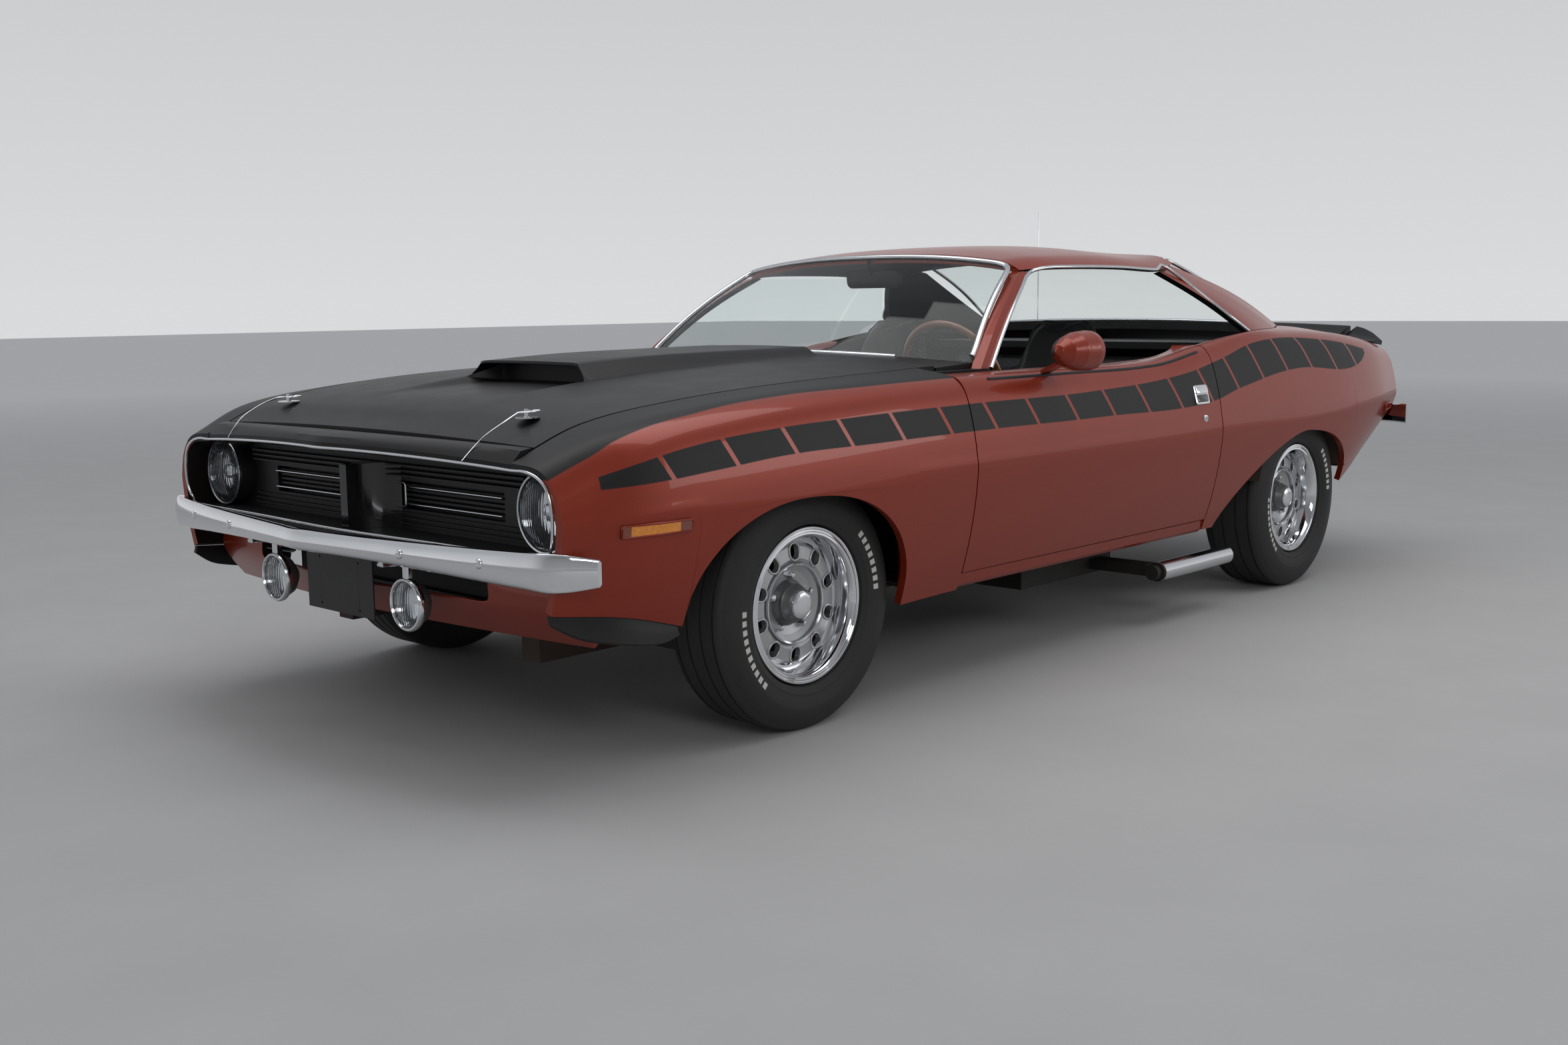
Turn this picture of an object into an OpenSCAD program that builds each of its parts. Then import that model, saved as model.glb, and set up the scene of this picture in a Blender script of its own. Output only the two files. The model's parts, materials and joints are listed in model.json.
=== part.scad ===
// Two-door muscle car: unibody coupe with separate bolt-on panels, swinging doors, hood and trunk lid,
// and steered front wheels. X runs forward, Y to the left, Z up; the road is at z = 0. Millimetres.

/* [Overall] */
// Front axle to rear axle
wheelbase = 2743; // [2720:1:2770]
// Front axle to the front of the bumper
front_overhang = 970; // [955:1:990]
// Rear axle to the back of the bumper
rear_overhang = 1029; // [1015:1:1050]
// Width of the body at the side crease
body_w = 1902; // [1880:1:1920]
// Height of the roof above the road
roof_h = 1293; // [1285:1:1310]
// Height of the belt line at the front of the door
belt_h = 888; // [880:1:894]
// Height of the side crease
crease_h = 636; // [630:1:642]
// Height of the lower edge of the sill
sill_h = 286; // [280:1:292]

/* [Wheels] */
// Distance between the front wheels' middles
front_track = 1516; // [1500:1:1524]
// Distance between the rear wheels' middles
rear_track = 1542; // [1530:1:1550]
// Outer radius of a front tyre
front_tyre_r = 327; // [320:1:330]
// Outer radius of a rear tyre
rear_tyre_r = 338; // [330:1:342]
// Width of a front tyre
front_tyre_w = 215; // [205:1:220]
// Width of a rear tyre
rear_tyre_w = 240; // [230:1:246]
// Radius of the rim where the tyre sits
rim_r = 190; // [180:1:196]
// Openings round the wheel disc
wheel_slots = 10; // [9:1:12]
// Radius of the wheel spindles
spindle_r = 20; // [16:1:24]
// Distance of the steering axis inboard of the wheel's middle
kingpin_in = 58; // [53:1:68]
// Radius of the ball studs that the knuckles turn on
stud_r = 12; // [10:1:14]

/* [Panels] */
// Open joint round the doors and lids
panel_gap = 5; // [5:0.5:7]
// Thickness of the fender and quarter shells
shell_t = 22; // [16:1:24]
// Thickness of a whole door
door_t = 120; // [105:1:126]
// Thickness of the hood and trunk lid with their inner frames
lid_t = 28; // [22:1:32]
// Thickness of the roof with its lining
roof_t = 30; // [24:1:36]
// Thickness of the window glass
glass_t = 6; // [4:1:8]
// Height of the hood scoop's top edge above the hood
scoop_h = 44; // [36:1:50]
// Half of the scoop's width
scoop_half = 205; // [190:5:225]

/* [Front end] */
// Radius of a headlamp
headlamp_r = 88; // [80:1:92]
// Radius of a driving lamp
driving_lamp_r = 62; // [55:1:66]
// Width of the number plate
plate_w = 305; // [290:1:320]
// Height of the number plate
plate_h = 152; // [140:1:158]
// Spacing of the plate's bolt holes across the car
plate_holes_w = 178; // [160:1:190]
// Spacing of the plate's bolt holes upward
plate_holes_h = 121; // [105:1:126]
// Radius of a plate bolt hole
plate_hole_r = 3.5; // [3:0.5:4]

/* [Cabin] */
// Radius of the steering wheel to the middle of its rim
steering_r = 185; // [175:1:195]
// Width of a front seat
seat_w = 440; // [420:5:450]
// Side of the square jacking pads
jack_pad = 70; // [60:5:80]

/* [Hidden] */
$fn = 64;
// Room between pieces that sit on each other
seat_gap = 0.3;
// Running clearance of a spindle or stud in its bore
fit = 0.05;
half_l = (wheelbase + front_overhang + rear_overhang) / 2;
half_w = body_w / 2;
front_axle_x = half_l - front_overhang;
rear_axle_x = front_axle_x - wheelbase;
nose_x = half_l - 157;
tail_x = -half_l + 31;
door_front_x = front_axle_x - 604;
door_rear_x = rear_axle_x + 733;
hood_rear_x = front_axle_x - 701;
hood_front_x = nose_x - 68;
lid_front_x = rear_axle_x - 218;
lid_rear_x = tail_x + 14;
floor_z = sill_h - 22;
floor_t = 14;
rail_y = 430;
kingpin_y = front_track / 2 - kingpin_in;
rail_low_z = floor_z - 46;
apron_low_z = 470;
apron_y = 470;
door_axis_y = half_w - 2;

// Body lines along the car. Columns: x, belt inset from the half width, belt above belt_h,
// crease inset, crease above crease_h, sill inset, lower edge above sill_h
BODY = [
  [tail_x,             161,   -3, 106,  54, 151, 304],
  [rear_axle_x - 677,  109,   34,  39,  44, 101, 204],
  [rear_axle_x - 357,   89,   60,   8,  29,  71,  79],
  [rear_axle_x,         83,   77,   0,  19,  61,  14],
  [rear_axle_x + 372,   79,   84,   1,  12,  71,  14],
  [door_rear_x,         73,   47,   3,   6,  78,  11],
  [door_rear_x + 329,   69,    5,   5,   2,  79,   8],
  [door_front_x - 497,  67,    1,   5,   0,  79,   4],
  [door_front_x,        65,    0,   5,  -2,  78,   0],
  [front_axle_x,        63,  -12,   3,  -4,  69,  -3],
  [front_axle_x + 380,  65,  -36,   9,  -8,  75,  44],
  [front_axle_x + 630,  77,  -72,  26, -12,  85, 109],
  [nose_x,             129, -143,  83, -18, 131, 134]];

// Hood edge along the car. Columns: x, half width of the hood, edge above the belt line, crown in the middle
HOOD = [
  [hood_rear_x - 20,    716, 24, 28],
  [front_axle_x - 400,  736, 20, 27],
  [front_axle_x,        742, 17, 25],
  [front_axle_x + 400,  728, 14, 20],
  [nose_x,              690,  8, 14]];

// Inner top edge of the quarter. Columns: x, half width there, height above the belt line
DECK = [
  [tail_x,             655, 20],
  [rear_axle_x - 600,  668, 28],
  [rear_axle_x - 200,  690, 28],
  [rear_axle_x,        772, 16],
  [rear_axle_x + 340,  846,  4],
  [door_rear_x,        832,  2]];

// Roof. Columns: x, half width at the drip rail, height of the rail below roof_h, height of the middle below roof_h
roof_front_x = front_axle_x - 1296;
roof_rear_x = rear_axle_x + 452;
ROOF = [
  [roof_rear_x,        582, 46, 22],
  [roof_rear_x + 190,  640, 72, 10],
  [roof_rear_x + 500,  648, 66,  0],
  [roof_front_x - 150, 630, 68, 14],
  [roof_front_x,       598, 78, 36]];

// Wheel arches: middle x, top height, length and height at the rear foot, length and height at the front foot,
// and the powers that shape the two sides
FRONT_ARCH = [front_axle_x + 105, 625, 445, sill_h, 2.3, 365, sill_h + 95, 2.0];
REAR_ARCH = [rear_axle_x + 93, 603, 470, sill_h + 60, 2.3, 560, sill_h + 11, 1.4];

// Smooth curve through the rows of a table, by the column k
function segment(t, x, i = 0) = (i >= len(t) - 2 || x < t[i + 1][0]) ? i : segment(t, x, i + 1);
function slope(t, i, k) = let (a = max(i - 1, 0), b = min(i + 1, len(t) - 1))
  (t[b][k] - t[a][k]) / (t[b][0] - t[a][0]);
function along(t, x, k) = let (i = segment(t, x), h = t[i + 1][0] - t[i][0], u = (x - t[i][0]) / h)
  (2 * u ^ 3 - 3 * u ^ 2 + 1) * t[i][k] + (u ^ 3 - 2 * u ^ 2 + u) * h * slope(t, i, k)
  + (3 * u ^ 2 - 2 * u ^ 3) * t[i + 1][k] + (u ^ 3 - u ^ 2) * h * slope(t, i + 1, k);
function mix(a, b, u) = a + (b - a) * u;
function spread(a, b, n) = [for (i = [0:n]) mix(a, b, i / n)];

// Body lines at a station
function belt_y(x) = half_w - along(BODY, x, 1);
function belt_z(x) = belt_h + along(BODY, x, 2);
function crease_y(x) = half_w - along(BODY, x, 3);
function crease_z(x) = crease_h + along(BODY, x, 4);
function sill_y(x) = half_w - along(BODY, x, 5);
function sill_z(x) = sill_h + along(BODY, x, 6);
function hood_half(x) = along(HOOD, x, 1);
function hood_edge_z(x) = belt_z(x) + along(HOOD, x, 2);
function hood_crown_z(x, y) = hood_edge_z(x) + along(HOOD, x, 3) * (1 - (y / hood_half(x)) ^ 2);
function deck_half(x) = along(DECK, x, 1);
function deck_edge_z(x) = belt_z(x) + along(DECK, x, 2);
function rail_half(x) = along(ROOF, x, 1);
function roof_z(x, y) = roof_h - mix(along(ROOF, x, 3), along(ROOF, x, 2), abs(y / rail_half(x)) ^ 2.6);

// Outer skin of the body side, bowed above and below the crease
function bow(s) = 0.3 * s + 0.7 * s * s;
function skin_y(x, z) = z >= crease_z(x)
  ? crease_y(x) - (crease_y(x) - belt_y(x)) * bow((z - crease_z(x)) / (belt_z(x) - crease_z(x)))
  : crease_y(x) - (crease_y(x) - sill_y(x)) * bow((crease_z(x) - z) / (crease_z(x) - sill_z(x)));

// Height of an arch's edge at a station, or 0 outside it
function arch_side(u, foot, top, power) = abs(u) >= 1 ? 0
  : foot + (top - foot) * (1 - abs(u) ^ power) ^ (1 / power);
function arch_z(a, x) = x < a[0] ? arch_side((x - a[0]) / a[2], a[3], a[1], a[4])
  : arch_side((x - a[0]) / a[5], a[6], a[1], a[7]);
function lower_z(x) = max(sill_z(x), arch_z(FRONT_ARCH, x), arch_z(REAR_ARCH, x));
function arch_stations(a, n) = concat([for (i = [0:n]) a[0] - a[2] * cos(90 * i / n)],
  [for (i = [1:n]) a[0] + a[5] * sin(90 * i / n)]);

// Section of the body side at x, from its inner top edge over the rounded shoulder down to low
shoulder_r = 62;
function side_section(x, top, low, n_up = 5, n_low = 4) = let (
    b = [belt_y(x), belt_z(x)], r = min(shoulder_r, 0.8 * norm(top - b)),
    p0 = b + (top - b) * r / norm(top - b), z2 = b[1] - shoulder_r, p2 = [skin_y(x, z2), z2])
  concat([top, mix(top, p0, 0.6)],
    [for (u = [0:0.25:1]) mix(mix(p0, b, u), mix(b, p2, u), u)],
    [for (i = [1:n_up]) let (z = mix(z2, crease_z(x), i / n_up)) [skin_y(x, z), z]],
    [for (i = [1:n_low]) let (z = mix(crease_z(x), low, i / n_low)) [skin_y(x, z), z]]);
// The same section moved inward by t, square to itself
function inset(sec, t) = [for (i = [0:len(sec) - 1]) let (
    d = sec[min(i + 1, len(sec) - 1)] - sec[max(i - 1, 0)], n = [d[1], -d[0]] / norm(d)) sec[i] + t * n];
function place(x, sec) = [for (p = sec) [x, p[0], p[1]]];

// Faces that run clockwise seen from outside, turned over where the points run the other way
function facing(faces, ok) = ok ? faces : [for (f = faces) [f[2], f[1], f[0]]];

// Closed shell between two grids of points with the same rows and columns
module slab(outer, inner) {
  m = len(outer);
  n = len(outer[0]);
  points = [for (g = [outer, inner]) for (row = g) for (p = row) p];
  function at(s, i, j) = (s * m + i) * n + j;
  function quad(a, b, c, d) = [[a, b, c], [a, c, d]];
  faces = concat(
    [for (i = [0:m - 2]) for (j = [0:n - 2])
      each quad(at(0, i, j), at(0, i, j + 1), at(0, i + 1, j + 1), at(0, i + 1, j))],
    [for (i = [0:m - 2]) for (j = [0:n - 2])
      each quad(at(1, i, j), at(1, i + 1, j), at(1, i + 1, j + 1), at(1, i, j + 1))],
    [for (j = [0:n - 2]) each quad(at(0, 0, j), at(1, 0, j), at(1, 0, j + 1), at(0, 0, j + 1))],
    [for (j = [0:n - 2]) each quad(at(0, m - 1, j), at(0, m - 1, j + 1), at(1, m - 1, j + 1), at(1, m - 1, j))],
    [for (i = [0:m - 2]) each quad(at(0, i, 0), at(0, i + 1, 0), at(1, i + 1, 0), at(1, i, 0))],
    [for (i = [0:m - 2]) each quad(at(0, i, n - 1), at(1, i, n - 1), at(1, i + 1, n - 1), at(0, i + 1, n - 1))]);
  o = outer[0][0];
  polyhedron(points, facing(faces, cross(outer[0][1] - o, outer[1][0] - o) * (inner[0][0] - o) > 0));
}
// Direction square to a ring of points
function across(ring, j = 1) = j > len(ring) - 2 ? [0, 0, 0]
  : cross(ring[j] - ring[0], ring[j + 1] - ring[0]) + across(ring, j + 1);
// Bar through closed rings of points
module bar(rings) {
  m = len(rings);
  n = len(rings[0]);
  function at(i, j) = i * n + (j % n);
  faces = concat(
    [for (i = [0:m - 2]) for (j = [0:n - 1])
      each [[at(i, j), at(i + 1, j), at(i + 1, j + 1)], [at(i, j), at(i + 1, j + 1), at(i, j + 1)]]],
    [for (j = [1:n - 2]) [at(0, 0), at(0, j), at(0, j + 1)]],
    [for (j = [1:n - 2]) [at(m - 1, 0), at(m - 1, j + 1), at(m - 1, j)]]);
  first = rings[0];
  polyhedron([for (r = rings) for (p = r) p], facing(faces, across(first) * (rings[1][0] - first[0]) > 0));
}
module both_sides() {
  children();
  mirror([0, 1, 0]) children();
}
module box(low, high) translate(low) cube(high - low);
// Outline in the y-z plane run along x, and one in the x-z plane run along y
module along_x(x0, x1) translate([x0, 0, 0]) rotate([90, 0, 90]) linear_extrude(x1 - x0) children();
module along_y(y0, y1) translate([0, y1, 0]) rotate([90, 0, 0]) linear_extrude(y1 - y0) children();
module round_y(x, y0, y1, z, r) translate([x, y1, z]) rotate([90, 0, 0]) cylinder(h = y1 - y0, r = r);
module round_x(x0, x1, y, z, r) translate([x0, y, z]) rotate([0, 90, 0]) cylinder(h = x1 - x0, r = r);

// Tyre section. Columns: share of the height from bead to tread, share of the half width
TYRE = [[0, 0.655], [0.115, 0.655], [0.16, 0.88], [0.34, 0.99], [0.5, 1], [0.7, 0.97], [0.86, 0.9], [0.95, 0.82], [1, 0.72]];
module tyre(x, y, r, w) {
  side = [for (p = TYRE) [mix(rim_r + seat_gap, r, p[0]), w / 2 * p[1]]];
  outline = concat(side, [for (i = [len(side) - 1:-1:0]) [side[i][0], -side[i][1]]]);
  color("#1b1b1c") translate([x, y, r]) rotate([90, 0, 0]) rotate_extrude() polygon(outline);
}

// Wheel disc and rim, drawn with the outer side toward -z before it is laid down
rim_flange = 14;
hub_r = 48;
slot_in = 132;
slot_out = 140;
slot_w = 34;
module wheel(x, y, r, w) {
  hw = w * 0.39;
  disc = -hw * 0.34;
  rim = [[rim_r, -hw + 12], [rim_r + rim_flange, -hw + 8], [rim_r + rim_flange, -hw], [rim_r - 2, -hw],
    [rim_r - 16, -hw + 26], [rim_r - 26, disc + 2], [150, disc - 12], [118, disc - 16], [84, disc + 4],
    [60, disc + 10], [hub_r, disc - 12], [36, disc - 26], [hub_r - 20, disc - 30], [0, disc - 30], [0, disc - 18],
    [spindle_r + fit, disc - 18], [spindle_r + fit, disc + 42], [hub_r, disc + 42], [hub_r, disc + 26],
    [84, disc + 20], [118, disc], [150, disc + 4], [rim_r - 26, disc + 22], [rim_r - 18, disc + 36],
    [rim_r - 18, hw - 20], [rim_r - 6, hw], [rim_r + rim_flange, hw], [rim_r + rim_flange, hw - 8],
    [rim_r, hw - 12], [rim_r, 0]];
  side = y > 0 ? 1 : -1;
  color("#b9bbbd") translate([x, y, r]) rotate([side * 90, 0, 0]) difference() {
    rotate_extrude() polygon(rim);
    for (i = [0:wheel_slots - 1]) rotate(360 * (i + 0.5) / wheel_slots)
      translate([0, 0, disc - 40]) {
        translate([slot_in, -slot_w / 2, 0]) cube([slot_out - slot_in, slot_w, 80]);
        for (a = [slot_in, slot_out]) translate([a, 0, 0]) cylinder(h = 80, r = slot_w / 2);
      }
  }
}

// Knuckle: upright on two ball studs, with the spindle and the steering arm
module knuckle(side) {
  z = front_tyre_r;
  hub_y = front_track / 2;
  color("#55585c") scale([1, side, 1]) difference() {
    union() {
      round_y(front_axle_x, kingpin_y + 18, hub_y + front_tyre_w * 0.19, z, spindle_r);
      box([front_axle_x - 26, kingpin_y - 24, z - 108], [front_axle_x + 26, kingpin_y + 22, z + 108]);
      box([front_axle_x - 120, kingpin_y - 14, z - 70], [front_axle_x - 20, kingpin_y + 8, z - 48]);
    }
    for (s = [-1, 1]) translate([front_axle_x, kingpin_y, z + s * 90 - 21]) cylinder(h = 42, r = stud_r + fit);
  }
}

// Cross-member, control arms with their ball studs, and the steering box below the rails
module front_suspension() {
  z = front_tyre_r;
  arm = 124;
  rail_out = rail_y + 30 + seat_gap;
  color("#3b3d40") {
    box([front_axle_x - 60, -rail_out - 20, rail_low_z - 60], [front_axle_x + 60, rail_out + 20, rail_low_z - seat_gap]);
    both_sides() {
      box([front_axle_x - 60, rail_out, rail_low_z - 60], [front_axle_x + 60, rail_out + 24, apron_low_z - 0.8]);
      for (s = [-1, 1]) {
        box([front_axle_x - 24, rail_out + 10, z + s * arm - 12], [front_axle_x + 24, kingpin_y + 24, z + s * arm + 12]);
        translate([front_axle_x, kingpin_y, min(z + s * 72, z + s * arm)]) cylinder(h = arm - 72, r = stud_r);
      }
    }
  }
}

// Live axle on leaf springs, with the propeller shaft
spring_y = 545;
spring_bow = 1700;
spring_angle = 18;
// Underside of the floor's kick-up, dx ahead of the rear axle
function kick_z(dx) = floor_z + (636 - dx) / (636 - 410) * (trunk_z + 110 - floor_z);
module rear_axle() {
  z = rear_tyre_r;
  tube_r = 38;
  end_y = rear_track / 2 + rear_tyre_w * 0.19;
  color("#36383b") {
    round_y(rear_axle_x, -rear_track / 2 + 130, rear_track / 2 - 130, z, tube_r);
    round_y(rear_axle_x, -end_y, end_y, z, spindle_r);
    translate([rear_axle_x, 0, z]) rotate([-90, 0, 0]) rotate_extrude()
      polygon([[0, -112], [62, -112], [122, -52], [122, 52], [62, 112], [0, 112]]);
    round_x(rear_axle_x + 60, front_axle_x - 1290, 0, z - 30, 40);
    both_sides() {
      translate([rear_axle_x, spring_y, z - tube_r + spring_bow]) rotate([90, 0, 0]) translate([0, 0, -32])
        rotate([0, 0, 270 - spring_angle]) rotate_extrude(angle = 2 * spring_angle, $fn = 256)
          translate([spring_bow, 0]) square([26, 64]);
      box([rear_axle_x - 70, spring_y - 40, z - tube_r - 6], [rear_axle_x + 70, spring_y + 40, z + 30]);
      along_y(spring_y - 25, spring_y + 25) polygon([[rear_axle_x + 470, z + 20], [rear_axle_x + 510, z + 26],
        [rear_axle_x + 510, kick_z(510) - 0.6], [rear_axle_x + 470, kick_z(470) - 0.6]]);
      box([rear_axle_x - 510, spring_y - 25, z + 24], [rear_axle_x - 470, spring_y + 25, trunk_z - 20 - seat_gap]);
    }
  }
}

// Engine and gearbox as one plain mass
module engine() color("#6b4a35") {
  box([front_axle_x - 500, -300, 250], [front_axle_x + 230, 300, belt_h - 248]);
  box([front_axle_x - 440, -200, belt_h - 288], [front_axle_x + 180, 200, belt_h - 88]);
  box([front_axle_x - 1180, -100, 240], [front_axle_x - 480, 100, 430]);
  both_sides() box([front_axle_x - 50, 180, rail_low_z], [front_axle_x + 50, 250, 260]);
}

// Radiator with its support across the rails
core_x = nose_x - 230;
module core_support() color("#222324") {
  difference() {
    box([core_x - 15, -600, 330], [core_x + 15, 600, 740]);
    box([core_x - 20, -340, 360], [core_x + 20, 340, 710]);
  }
  box([core_x - 50, -345, 355], [core_x + 4, 345, 715]);
  both_sides() translate([core_x, 560, 735])
    cylinder(h = hood_crown_z(core_x + 12, 560) - lid_t - seat_gap - 735, r = 12);
}

module fuel_tank() color("#5d5f61")
  box([rear_axle_x - 780, -330, 262], [rear_axle_x - 420, 330, trunk_z - 20 - seat_gap]);

// Pipes, mufflers and the slash-cut side outlets
pipe_y = 330;
muffler_h = 110;
tip_y = half_w - 80;
tip_z = 186;
module exhaust() color("#8d8f91") both_sides() {
  round_x(door_front_x - 1120, front_axle_x - 300, pipe_y, 215, 27);
  along_x(door_front_x - 1250, door_front_x - 700) translate([pipe_y + 150, floor_z - seat_gap - muffler_h / 2])
    square([260, muffler_h], center = true);
  box([door_front_x - 1190, pipe_y + 40, 168], [door_front_x - 1120, tip_y - 6, 205]);
  difference() {
    union() {
      round_x(door_rear_x - 190, door_rear_x + 290, tip_y, tip_z, 32);
      round_x(door_rear_x + 280, door_front_x - 1090, tip_y - 4, tip_z, 25);
    }
    round_x(door_rear_x - 200, door_rear_x + 250, tip_y, tip_z, 28);
    translate([door_rear_x - 190, tip_y, tip_z]) rotate([0, 0, 30]) box([-90, -120, -60], [0, 120, 60]);
  }
}

// Floor with the tunnel, kick-up, trunk floor, rails and jacking pads
trunk_z = 430;
tunnel_w = 150;
shaft_slot = 60;
sill_in_y = half_w - 185;
module floor_pan() color("#2b2c2e") {
  along_x(rear_axle_x + 640, door_front_x - 20) polygon([
    [-sill_in_y, floor_z], [-tunnel_w, floor_z], [-tunnel_w + 30, floor_z + 190], [tunnel_w - 30, floor_z + 190],
    [tunnel_w, floor_z], [sill_in_y, floor_z], [sill_in_y, floor_z + floor_t],
    [tunnel_w + 12, floor_z + floor_t], [tunnel_w - 20, floor_z + 204], [-tunnel_w + 20, floor_z + 204],
    [-tunnel_w - 12, floor_z + floor_t], [-sill_in_y, floor_z + floor_t]]);
  difference() {
    along_y(-600, 600) polygon([
      [rear_axle_x + 650, floor_z], [rear_axle_x + 650, floor_z + floor_t], [rear_axle_x + 420, trunk_z + 130],
      [rear_axle_x + 250, trunk_z + 130], [rear_axle_x - 250, trunk_z + 130], [rear_axle_x - 400, trunk_z],
      [tail_x + 70, trunk_z], [tail_x + 70, trunk_z - 20], [rear_axle_x - 410, trunk_z - 20],
      [rear_axle_x - 260, trunk_z + 110], [rear_axle_x + 410, trunk_z + 110], [rear_axle_x + 636, floor_z]]);
    box([rear_axle_x + 480, -shaft_slot, floor_z - 20], [rear_axle_x + 700, shaft_slot, floor_z + 190]);
  }
  both_sides() {
    box([door_front_x - 300, rail_y - 40, rail_low_z], [hood_rear_x + 40, rail_y + 30, floor_z + 2]);
    box([hood_rear_x - 9, rail_y - 40, rail_low_z], [core_x - 15 - seat_gap, rail_y + 30, rail_low_z + 116]);
    for (x = [door_front_x - 160, door_rear_x + 60])
      box([x - jack_pad / 2, sill_in_y - 120, floor_z - 10], [x + jack_pad / 2, sill_in_y - 120 + jack_pad, floor_z + 2]);
  }
}

// Sills, hinge pillars and lock pillars
door_low_z = sill_h + 50;
door_in_y = half_w - 65 - door_t;
module side_frames() color("#8c3d1f") both_sides() {
  x0 = door_rear_x - panel_gap + seat_gap;
  x1 = door_front_x;
  along_x(x0, x1) polygon([
    [sill_in_y + seat_gap, sill_h], [half_w - 90, sill_h + 4], [half_w - 80, sill_h + 14],
    [half_w - 74, door_low_z - panel_gap], [sill_in_y + seat_gap, door_low_z - panel_gap]]);
  box([door_rear_x + 30, sill_in_y - 14, door_low_z - panel_gap - 12], [door_front_x - 30, sill_in_y + 20, door_low_z - panel_gap]);
  box([door_rear_x + 30, sill_in_y - 14, door_low_z - panel_gap - 12], [door_front_x - 30, door_in_y - seat_gap, door_low_z + 30]);
  box([door_front_x + panel_gap + 3, 720, sill_h + 10], [door_front_x + 80, half_w - 110, belt_h - 40]);
  box([door_front_x - 20, 720, sill_h], [door_front_x + 80, sill_in_y + 20, door_low_z - panel_gap - 10]);
  box([door_rear_x - 75, sill_in_y + seat_gap, sill_h], [door_rear_x + 20, half_w - 120, door_low_z - panel_gap]);
  box([door_rear_x - 75, sill_in_y + seat_gap, sill_h], [door_rear_x - panel_gap - 4, half_w - 120, belt_h + 10]);
}

// Bulkhead and the cowl below the windscreen
cowl_front_x = hood_rear_x - panel_gap - 1;
screen_base_x = front_axle_x - 765;
screen_base_drop = 125;
function screen_low_x(y) = screen_base_x - screen_base_drop * (y / 735) ^ 2;
function screen_low_z(y) = belt_h + 58 - 32 * (y / 735) ^ 2;
function screen_top_x(y) = roof_front_x + 28 - 40 * (y / 588) ^ 2 + 30;
function screen_top_z(y) = roof_z(roof_front_x, y * rail_half(roof_front_x) / 600) - 8;
module firewall() color("#1d1e1f") {
  wall_x = hood_rear_x - 30;
  difference() {
    box([wall_x, -715, floor_z + floor_t + seat_gap], [wall_x + 20, 715, belt_h - 30]);
    box([wall_x - 5, -tunnel_w - 20, 0], [wall_x + 25, tunnel_w + 20, floor_z + 206]);
  }
  both_sides() box([wall_x, 715, sill_h + 60], [door_front_x + 80, 719.7, belt_h - 45]);
  rows = spread(-716, 716, 16);
  slab([for (y = rows) [for (u = [0, 0.5, 1]) let (x = mix(cowl_front_x, screen_low_x(y) + seat_gap + 0.2, u))
      [x, y, mix(hood_crown_z(hood_rear_x, y) - 6, screen_low_z(y) - 0.1, u)]]],
    [for (y = rows) [for (u = [0, 0.5, 1]) let (x = mix(cowl_front_x, screen_low_x(y) - 20, u))
      [x, y, belt_h - 30 + seat_gap]]]);
  both_sides() box([screen_base_x - screen_base_drop, 730, belt_h - 60], [door_front_x + panel_gap, 758, belt_h + 10]);
}

// Inner aprons from the rails up to the fenders, clear of the steered wheels
module aprons() {
  xs = spread(door_front_x + 90, core_x - 16, 8);
  function section(x) = let (e = hood_edge_z(x), h = hood_half(x), fall = (e - belt_z(x)) / (belt_y(x) - h - panel_gap),
      low = e - shell_t * norm([1, fall]) - seat_gap) [
    [h + 34, low - 29 * fall], [h + 8, low - 3 * fall], [h + 2, e - 56], [600, e - 78],
    [apron_y + 14, e - 114], [apron_y, apron_low_z]];
  color("#1d1e1f") both_sides() slab([for (x = xs) place(x, section(x))], [for (x = xs) place(x, inset(section(x), -10))]);
}

// Fenders, from the nose to the door with the wheel arch in their lower edge
module fender() {
  xs = concat(spread(door_front_x + panel_gap, FRONT_ARCH[0] - FRONT_ARCH[2] - 12, 4),
    arch_stations(FRONT_ARCH, 9), spread(FRONT_ARCH[0] + FRONT_ARCH[5] + 14, nose_x, 6));
  function section(x) = side_section(x, [hood_half(x) + panel_gap, hood_edge_z(x)], lower_z(x));
  color("#b4481c") slab([for (x = xs) place(x, section(x))], [for (x = xs) place(x, inset(section(x), shell_t))]);
}

// Header across the nose, ahead of the hood
mouth_top_x = nose_x + 72;
mouth_top_z = belt_h - 132;
function mouth_x(y) = mix(mouth_top_x, nose_x, abs(y) / 690);
function mouth_z(y) = mix(mouth_top_z, belt_h - 152, (y / 690) ^ 2);
function hood_nose_x(y) = hood_front_x + 19 * (1 - (y / 690) ^ 2);
module nose() {
  rows = spread(-694, 694, 18);
  function profile(y) = let (hx = hood_nose_x(y) + panel_gap + 4, hz = hood_crown_z(hood_nose_x(y), y),
      mx = mouth_x(y), mz = mouth_z(y))
    [[hx, hz], mix([hx, hz], [mx, mz + 26], 0.5) + [0, 6], [mx - 14, mz + 28], [mx, mz + 14], [mx - 2, mz]];
  color("#1b1b1c") slab([for (y = rows) [for (p = profile(y)) [p[0], y, p[1]]]],
    [for (y = rows) [for (p = inset(profile(y), 16)) [p[0], y, p[1]]]]);
}

// Doors, with the inner face drawn in toward the lock side
door_taper = 36;
module door() {
  xs = concat(spread(door_rear_x, door_rear_x + 340, 6), spread(door_rear_x + 480, door_front_x, 7));
  function low(x) = door_low_z;
  function section(x) = side_section(x, [belt_y(x) - 46, belt_z(x) + 2], low(x));
  function inner_x(x) = mix(door_rear_x + door_taper, x, min(1, (x - door_rear_x) / 400));
  color("#b4481c") slab([for (x = xs) place(x, section(x))],
    [for (x = xs) [for (p = section(x)) [inner_x(x), door_in_y, p[1]]]]);
}

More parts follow.
